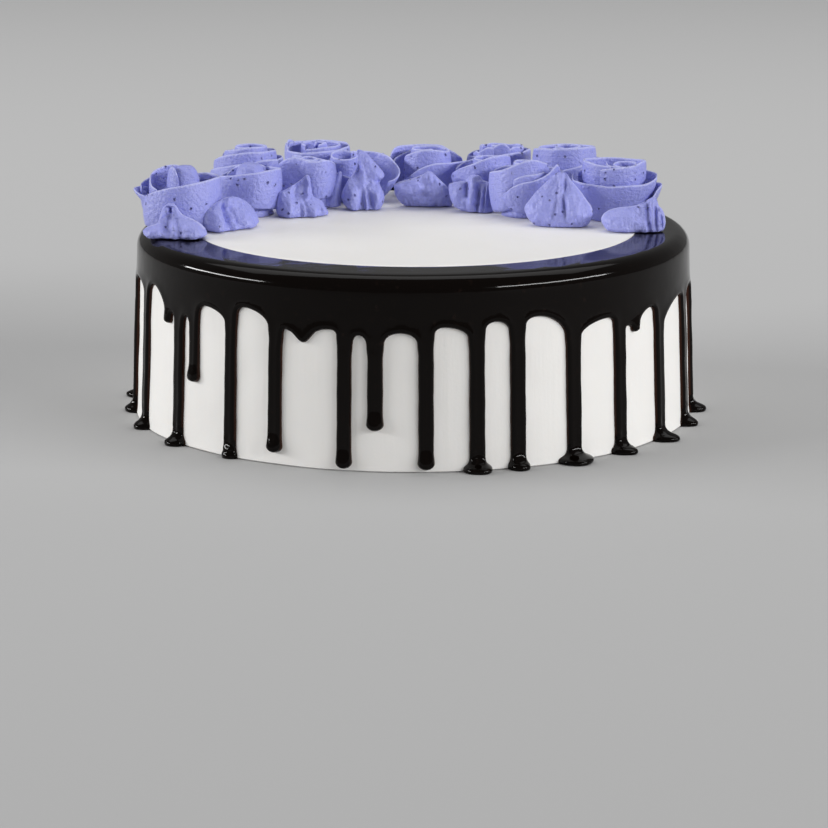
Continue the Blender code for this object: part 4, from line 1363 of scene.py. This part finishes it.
OUTLINES = {
    1: (
        (0, -10.2, 10.8), (0.08, -11.8, 12.2), (0.18, -12.2, 12), (0.26, -11.2, 11.4), (0.31, -9.6, 10.8),
        (0.36, -7.2, 10.2), (0.42, -6.4, 9.2), (0.49, -6.2, 7.8), (0.57, -5.9, 5), (0.66, -5.6, 2.7),
        (0.79, -5, 1.3), (0.91, -4, 0.4), (1, -2.6, -0.6),
    ),
    2: (
        (0, -12.4, 9.5), (0.12, -14, 11), (0.3, -14.4, 10.4), (0.5, -14, 9.4), (0.65, -12.6, 8),
        (0.78, -10.2, 6.2), (0.88, -7.2, 4.2), (0.95, -4.4, 2.4), (1, -2.2, 0),
    ),
    3: (
        (0, -8.6, 11.5), (0.08, -9.4, 11.2), (0.18, -9.6, 10.2), (0.28, -9.4, 9.6), (0.36, -9.2, 8.4),
        (0.42, -9, 6), (0.5, -8.6, 5.3), (0.6, -8, 5.1), (0.66, -5.2, 5), (0.78, -1.6, 4.8),
        (0.9, 1.6, 4.6), (1, 3.3, 4.2),
    ),
    4: (
        (0, -6.6, 6.6), (0.08, -8, 7.8), (0.18, -8.8, 8.3), (0.28, -8.4, 7.8), (0.36, -7.6, 6.8),
        (0.42, -6.8, 6.2), (0.47, -6.2, 6.8), (0.52, -5.2, 8.3), (0.57, -4.2, 8.3), (0.62, -3.2, 7.6),
        (0.7, -2.4, 6), (0.78, -2.4, 4.4), (0.86, -2.5, 2.8), (0.94, -2.6, 1), (1, -2.4, -1.4),
    ),
    5: (
        (0, -7.6, 11), (0.08, -9, 11.3), (0.2, -10.6, 11.2), (0.35, -11.6, 10.6), (0.5, -11.9, 9.6),
        (0.62, -11.8, 8.2), (0.68, -10.4, 7.2), (0.74, -7.2, 6.4), (0.82, -3.4, 5.2), (0.9, -0.5, 4.2),
        (0.97, 1, 3), (1, 1.5, 2.3),
    ),
    6: (
        (0, -1.6, 10.6), (0.06, -3.6, 10.2), (0.13, -5, 9.4), (0.25, -6.4, 9.2), (0.37, -7.3, 9.1),
        (0.5, -7.8, 9), (0.62, -8.1, 8.9), (0.72, -7.9, 8.8), (0.76, -5.2, 8.7), (0.8, -1.6, 8.2),
        (0.84, -1, 5.6), (0.92, -0.1, 5), (0.97, 0.8, 4.2), (1, 1.8, 2.8),
    ),
    7: (
        (0, -9.6, 10.6), (0.06, -11, 11.4), (0.14, -12.4, 12.2), (0.24, -13.4, 12.8), (0.31, -13.7, 12.5),
        (0.38, -13.1, 11.9), (0.47, -11.6, 10.4), (0.57, -10.1, 8.9), (0.67, -8.2, 7.3), (0.76, -6.3, 5.6),
        (0.86, -4.2, 3.8), (0.93, -3, 2.8), (0.98, -1.2, 2), (1, 0, 1.4),
    ),
    8: (
        (0, -9.6, 11.4), (0.1, -10.9, 12), (0.25, -12.1, 12.3), (0.38, -12.2, 12.1), (0.5, -11.2, 11.8),
        (0.6, -9.4, 11.2), (0.67, -6.8, 10.6), (0.705, -1, 10), (0.74, 1.2, 9.6), (0.82, 3.4, 9.3),
        (0.92, 5.6, 9), (1, 7.4, 8.4),
    ),
    9: (
        (0, -8.5, 8.5), (0.15, -9.9, 9.8), (0.35, -9.9, 9.6), (0.5, -8.4, 8.8), (0.62, -6, 6.6),
        (0.76, -3.6, 4), (0.9, -1.6, 1.8), (1, -0.3, 0.3),
    ),
    10: ((0, -3.6, 3.6), (0.2, -4.2, 4.2), (0.5, -3.8, 3.6), (0.75, -2.2, 2), (0.9, -1, 1), (1, -0.3, 0.2)),
    11: (
        (0, -7.6, 7.8), (0.15, -8.9, 8.9), (0.38, -8.6, 8.9), (0.55, -6.8, 7.4), (0.7, -4, 5.2),
        (0.85, -1.6, 2.8), (1, 0.6, 1.2),
    ),
    12: (
        (0, -7.8, 7.6), (0.18, -9, 8.8), (0.4, -8.8, 8.2), (0.58, -7.4, 6.2), (0.74, -4.8, 3.6),
        (0.88, -2.2, 1.5), (1, -0.4, 0.2),
    ),
    13: (
        (0, -3.8, 3.8), (0.2, -4.5, 4.5), (0.48, -4, 4), (0.72, -2.2, 2.4), (0.9, -0.9, 1.1),
        (1, -0.2, 0.3),
    ),
    14: (
        (0, -8.5, 8.4), (0.14, -9.9, 9.9), (0.34, -9.7, 9.9), (0.48, -8.2, 9.2), (0.62, -5.6, 7.2),
        (0.76, -3.2, 4.6), (0.9, -1, 2.4), (1, 0.7, 1.2),
    ),
}
# A mark runs up a leaf's face: its places across at its lower and upper level,
# those two levels, its half width, and how far it is pushed in. A wide mark that
# is pushed out is a lobe, a narrow one a fin, and one pushed in is a crease.
MARKS = {
    1: (
        (-8.5, -8, -0.2, 0.36, 2.8, -2.4), (8, 6.5, -0.2, 0.5, 3.6, -2.2),
        (1.3, -0.2, -0.2, 0.55, 0.45, -2.4), (-2, -2.6, 0.05, 0.78, 2, 2), (3.4, 1, 0.05, 0.6, 1.4, 1.2),
        (-5.4, -3.9, 0.4, 0.95, 0.7, -0.9), (-1.6, -1.6, 0.88, 1.1, 2, -1.4),
        (-1.6, -1.7, 0.7, 0.88, 0.55, 2.4),
    ),
    2: (
        (-12, -10.5, -0.2, 0.85, 3.6, -3.6), (3.5, 2.5, -0.2, 0.7, 3.4, -1.6),
        (-4.6, -3.4, -0.2, 0.6, 0.42, -2.6), (-7.4, -5.2, 0.05, 0.86, 1.4, 3.4),
        (-2.8, -3, 0.05, 0.8, 0.8, 1.8), (-4, -2.6, 0.6, 1.1, 1.3, -1),
    ),
    3: (
        (-0.4, -0.2, -0.2, 0.42, 0.42, -2.2), (-2.3, -1.8, -0.2, 0.25, 0.5, -1.2),
        (-1.4, -1, 0, 0.35, 0.5, 1.2), (-6.5, -6, -0.2, 0.55, 3, -2.2), (3.6, 3.2, -0.2, 0.36, 2.4, -2.8),
        (8.6, 8, -0.2, 0.3, 2.4, -1.8), (1.4, 3.6, 0.36, 1, 0.8, -1.6), (-3.2, 0.6, 0.35, 0.95, 2.2, 1.9),
        (0.5, 0.5, 0.05, 0.4, 0.5, 1.2),
    ),
    4: (
        (1.2, -0.2, -0.2, 0.34, 0.42, -2.2), (-0.6, -1.2, 0, 0.36, 0.8, 1.7),
        (2.9, 1.4, 0, 0.34, 0.8, 1.5), (-5.2, -5, -0.2, 0.44, 2.6, -2.6),
        (5.4, 4.8, -0.2, 0.42, 2.4, -2.4), (-3.8, -1.8, 0.42, 0.8, 1.8, 2),
        (-0.4, -0.8, 0.36, 0.85, 0.7, -1.2), (5.8, 5.8, 0.42, 0.5, 0.9, 2), (6, 0.5, 0.5, 0.95, 2.2, -1.4),
    ),
    5: (
        (1.8, 1.5, 0.15, 0.55, 0.4, -0.7), (0.4, 1.1, 0.62, 0.97, 0.45, -0.6),
        (2.7, 2.2, 0.62, 0.97, 0.45, -0.6), (-2.2, 0.2, 0.66, 0.94, 0.6, 0.6),
        (-5.5, -5.5, 0.15, 1.1, 5, -1.6), (6.5, 6, 0.15, 0.9, 4, -1.4), (-0.6, 0.6, 0.2, 0.8, 1.6, 0.7),
        (0, 0, -0.3, 0.5, 13, 2.6),
    ),
    6: (
        (4.7, 4.5, -0.1, 0.82, 0.55, 3), (6.2, 6.4, -0.2, 0.78, 0.45, -1),
        (7.9, 7.9, -0.2, 0.78, 0.45, -0.9), (7, 7.1, 0, 0.75, 0.4, 1.2), (8.8, 8.7, 0, 0.7, 0.35, 1.2),
        (0.1, -1, 0.38, 0.84, 0.7, 2.4), (0.2, 0.2, 0.36, 0.46, 0.6, 1.8),
        (2.4, 2.6, 0.05, 1.05, 1.5, -2.2), (-4.2, -4.8, -0.1, 0.75, 2.6, -1.8),
    ),
    7: (
        (3, 1.1, 0.06, 0.64, 0.55, 2.4), (0.3, 0.6, 0.15, 1, 0.5, -1.5), (6.8, 5, 0.05, 0.75, 3.4, -2),
        (-3, -0.8, 0.05, 0.5, 0.7, 1), (-8, -6.5, 0.05, 0.65, 4.2, -1.2), (2.2, 1.7, 0.6, 0.92, 0.5, 0.9),
    ),
    8: (
        (3.9, 4.6, -0.2, 0.42, 0.4, -1.8), (7.2, 7, -0.2, 0.95, 0.55, -1.4),
        (9.4, 9.3, -0.2, 0.6, 0.5, -1.3), (5.4, 5.4, 0, 0.85, 0.8, 2.2), (8.3, 8.2, 0.05, 0.75, 0.4, 1.4),
        (10.6, 10.4, 0.05, 0.5, 0.4, 1.2), (-6, -6, -0.1, 0.65, 4.5, -1.6), (2.2, 4, 0.3, 0.95, 1.6, 1),
    ),
}
PLAIN_MARKS = (
    (0.6, 0.2, -0.2, 0.6, 0.5, -1.6), (-1, -0.4, 0, 0.7, 0.8, 1.3), (2.4, 1, 0, 0.65, 0.9, 1.1),
    (-5, -4, -0.2, 0.5, 2.6, -1.8), (5.2, 4.4, -0.2, 0.5, 2.6, -1.6),
)
DEPTHS = ((0, 0.86), (0.1, 1), (0.28, 0.92), (0.45, 0.7), (0.62, 0.5), (0.82, 0.32), (1, 0.12))
print("leaves listed:", len(LEAVES))

# %% [markdown]
# ## Pulling a leaf
# The ball's rings become the levels of the leaf, and each ring is stretched to
# the outline's reach there. Only the face at the front is pushed in and out, with
# a little unevenness everywhere, and a smoothing pass softens the folds.

# %% Pull the leaves
def face_push(marks, across, level):
    """How far in the marks push a leaf's face, in mm."""
    push = 0.0
    for low_place, high_place, low, high, half, amount in marks:
        share = (level - low) / (high - low)
        if 0.0 < share < 1.0:
            line = low_place + (high_place - low_place) * share
            fade = min(1.0, 4.0 * share, 4.0 * (1.0 - share))
            push += amount * fade * float(np.exp(-((across - line) / half) ** 2))
    return push


def fuller(value, power):
    """A sine or cosine with a fuller curve and the same sign."""
    return abs(value) ** power * (1 if value > 0 else -1)


def make_leaf(number):
    x, y, depth, height, facing, lean = LEAVES[number]
    outline = np.array(OUTLINES[number])
    marks = MARKS.get(number, PLAIN_MARKS)
    rings, sides = 60, 128
    bpy.ops.mesh.primitive_uv_sphere_add(segments=sides, ring_count=rings, radius=1.0)
    leaf = bpy.context.object
    turned = Matrix.Rotation(radians(facing), 3, "Z")
    placed, rim_light_share = {}, []
    for vertex in leaf.data.vertices:
        ring = round((asin(max(-1.0, min(1.0, vertex.co.z))) / pi + 0.5) * rings)
        turn = atan2(vertex.co.y, vertex.co.x)
        level = max(0.0, (ring - 5) / (rings - 5))
        left_reach = float(np.interp(level, outline[:, 0], outline[:, 1]))
        right_reach = float(np.interp(level, outline[:, 0], outline[:, 2]))
        deep = 0.5 * depth * float(np.interp(level, *zip(*DEPTHS)))
        if ring <= 5:
            shrink = ring / 5
            left_reach, right_reach, deep = left_reach * shrink, right_reach * shrink, deep * shrink
        if ring == rings:
            left_reach = right_reach = 0.5 * (left_reach + right_reach)
            deep = 0.0
        wide = cos(turn)
        across = 0.5 * (left_reach + right_reach)
        across += 0.5 * (right_reach - left_reach) * fuller(wide, 0.9)
        away = deep * fuller(sin(turn), 0.8)
        back = -away
        if away < 0.0 and ring > 2:
            uneven = sin(1.25 * across + 4.0 * level + number) * sin(0.75 * level * height - 0.5 * across)
            slanting = sin(1.4 * level * height + 1.1 * across + number)
            uneven += 0.7 * sin(2.3 * across - 7.0 * level) * slanting
            push = face_push(marks, across, level) + 0.34 * uneven
            away += push * min(1.0, 2.2 * abs(sin(turn))) * min(1.0, ring / 5)
            away = min(away, back - min(0.9, 2.0 * back))
        away += lean * level
        # The leaf's two edges get the painted rim highlight.
        rim_light_share.append(max(0.0, abs(wide) - 0.9) / 0.1 if level > 0.25 else 0.0)
        z = level * height
        placed[vertex.index] = (z + 3.0, 0.4 * across)
        point = turned @ Vector((across, away, 0.0)) + Vector((x, y, FLOWER_FLOOR + z))
        vertex.co = point * MM
    mark_rim_light(leaf, rim_light_share)
    leaf.data.uv_layers[0].name = "drag"
    for loop in leaf.data.loops:
        leaf.data.uv_layers[0].data[loop.index].uv = placed[loop.vertex_index]
    apply_modifier(leaf, "SMOOTH", factor=0.5, iterations=4)
    return leaf


leaf_triangles = 0
for number in LEAVES:
    clear_selection()
    name = f"leaf_{number:02d}"
    leaf_triangles += finish_piece(make_leaf(number), f"pulled_{name}", lilac, name)
print("leaves:", leaf_triangles, "triangles")

# %% [markdown]
# ## Floor and light
# A plain pale floor that runs out of the picture. Two long soft lights stand far
# off, left and right, so the middle of the side is darker than its flanks, and a
# third one hangs behind and lights the top and the floor. The sky is dim, so the
# glaze stays dark between its highlights.

# %% Light the set
SIDE_LIGHT_AWAY = 5.0
SIDE_LIGHT_TALL = 0.29

clear_selection()
bpy.ops.mesh.primitive_plane_add(size=24.0)
floor = bpy.context.object
floor.name = "floor"
paper = Finish("paper", (0.475, 0.475, 0.475), 0.9)
floor.data.materials.append(paper.material)


def area_light(name, wide, tall, power):
    data = bpy.data.lights.new(name, "AREA")
    data.shape = "RECTANGLE"
    data.size, data.size_y, data.energy = wide, tall, power
    light = bpy.data.objects.new(name, data)
    bpy.context.scene.collection.objects.link(light)
    return light


def side_light(name, turn, lift, wide, power):
    """A long light at a turn round the cake, lifted some degrees and facing it."""
    light = area_light(name, wide, SIDE_LIGHT_TALL, power)
    target = Vector((0.0, 0.0, 0.05))
    level = SIDE_LIGHT_AWAY * cos(radians(lift))
    light.location = target + around(turn, level, SIDE_LIGHT_AWAY * sin(radians(lift)))
    light.rotation_euler = (target - light.location).to_track_quat("-Z", "Y").to_euler()


side_light("left_light", -86, 16, 4.0, 200.0)
side_light("right_light", 61, 20, 4.8, 210.0)
back_light = area_light("back_light", 3.0, 1.2, 11.0)
back_light.data.spread = 2.2
back_light.location = (0.0, 0.7, 1.8)
studio = bpy.data.worlds.new("studio")
bpy.context.scene.world = studio
studio.use_nodes = True
sky = studio.node_tree.nodes["Background"].inputs
sky["Color"].default_value = (1.0, 1.0, 1.0, 1.0)
sky["Strength"].default_value = 0.195
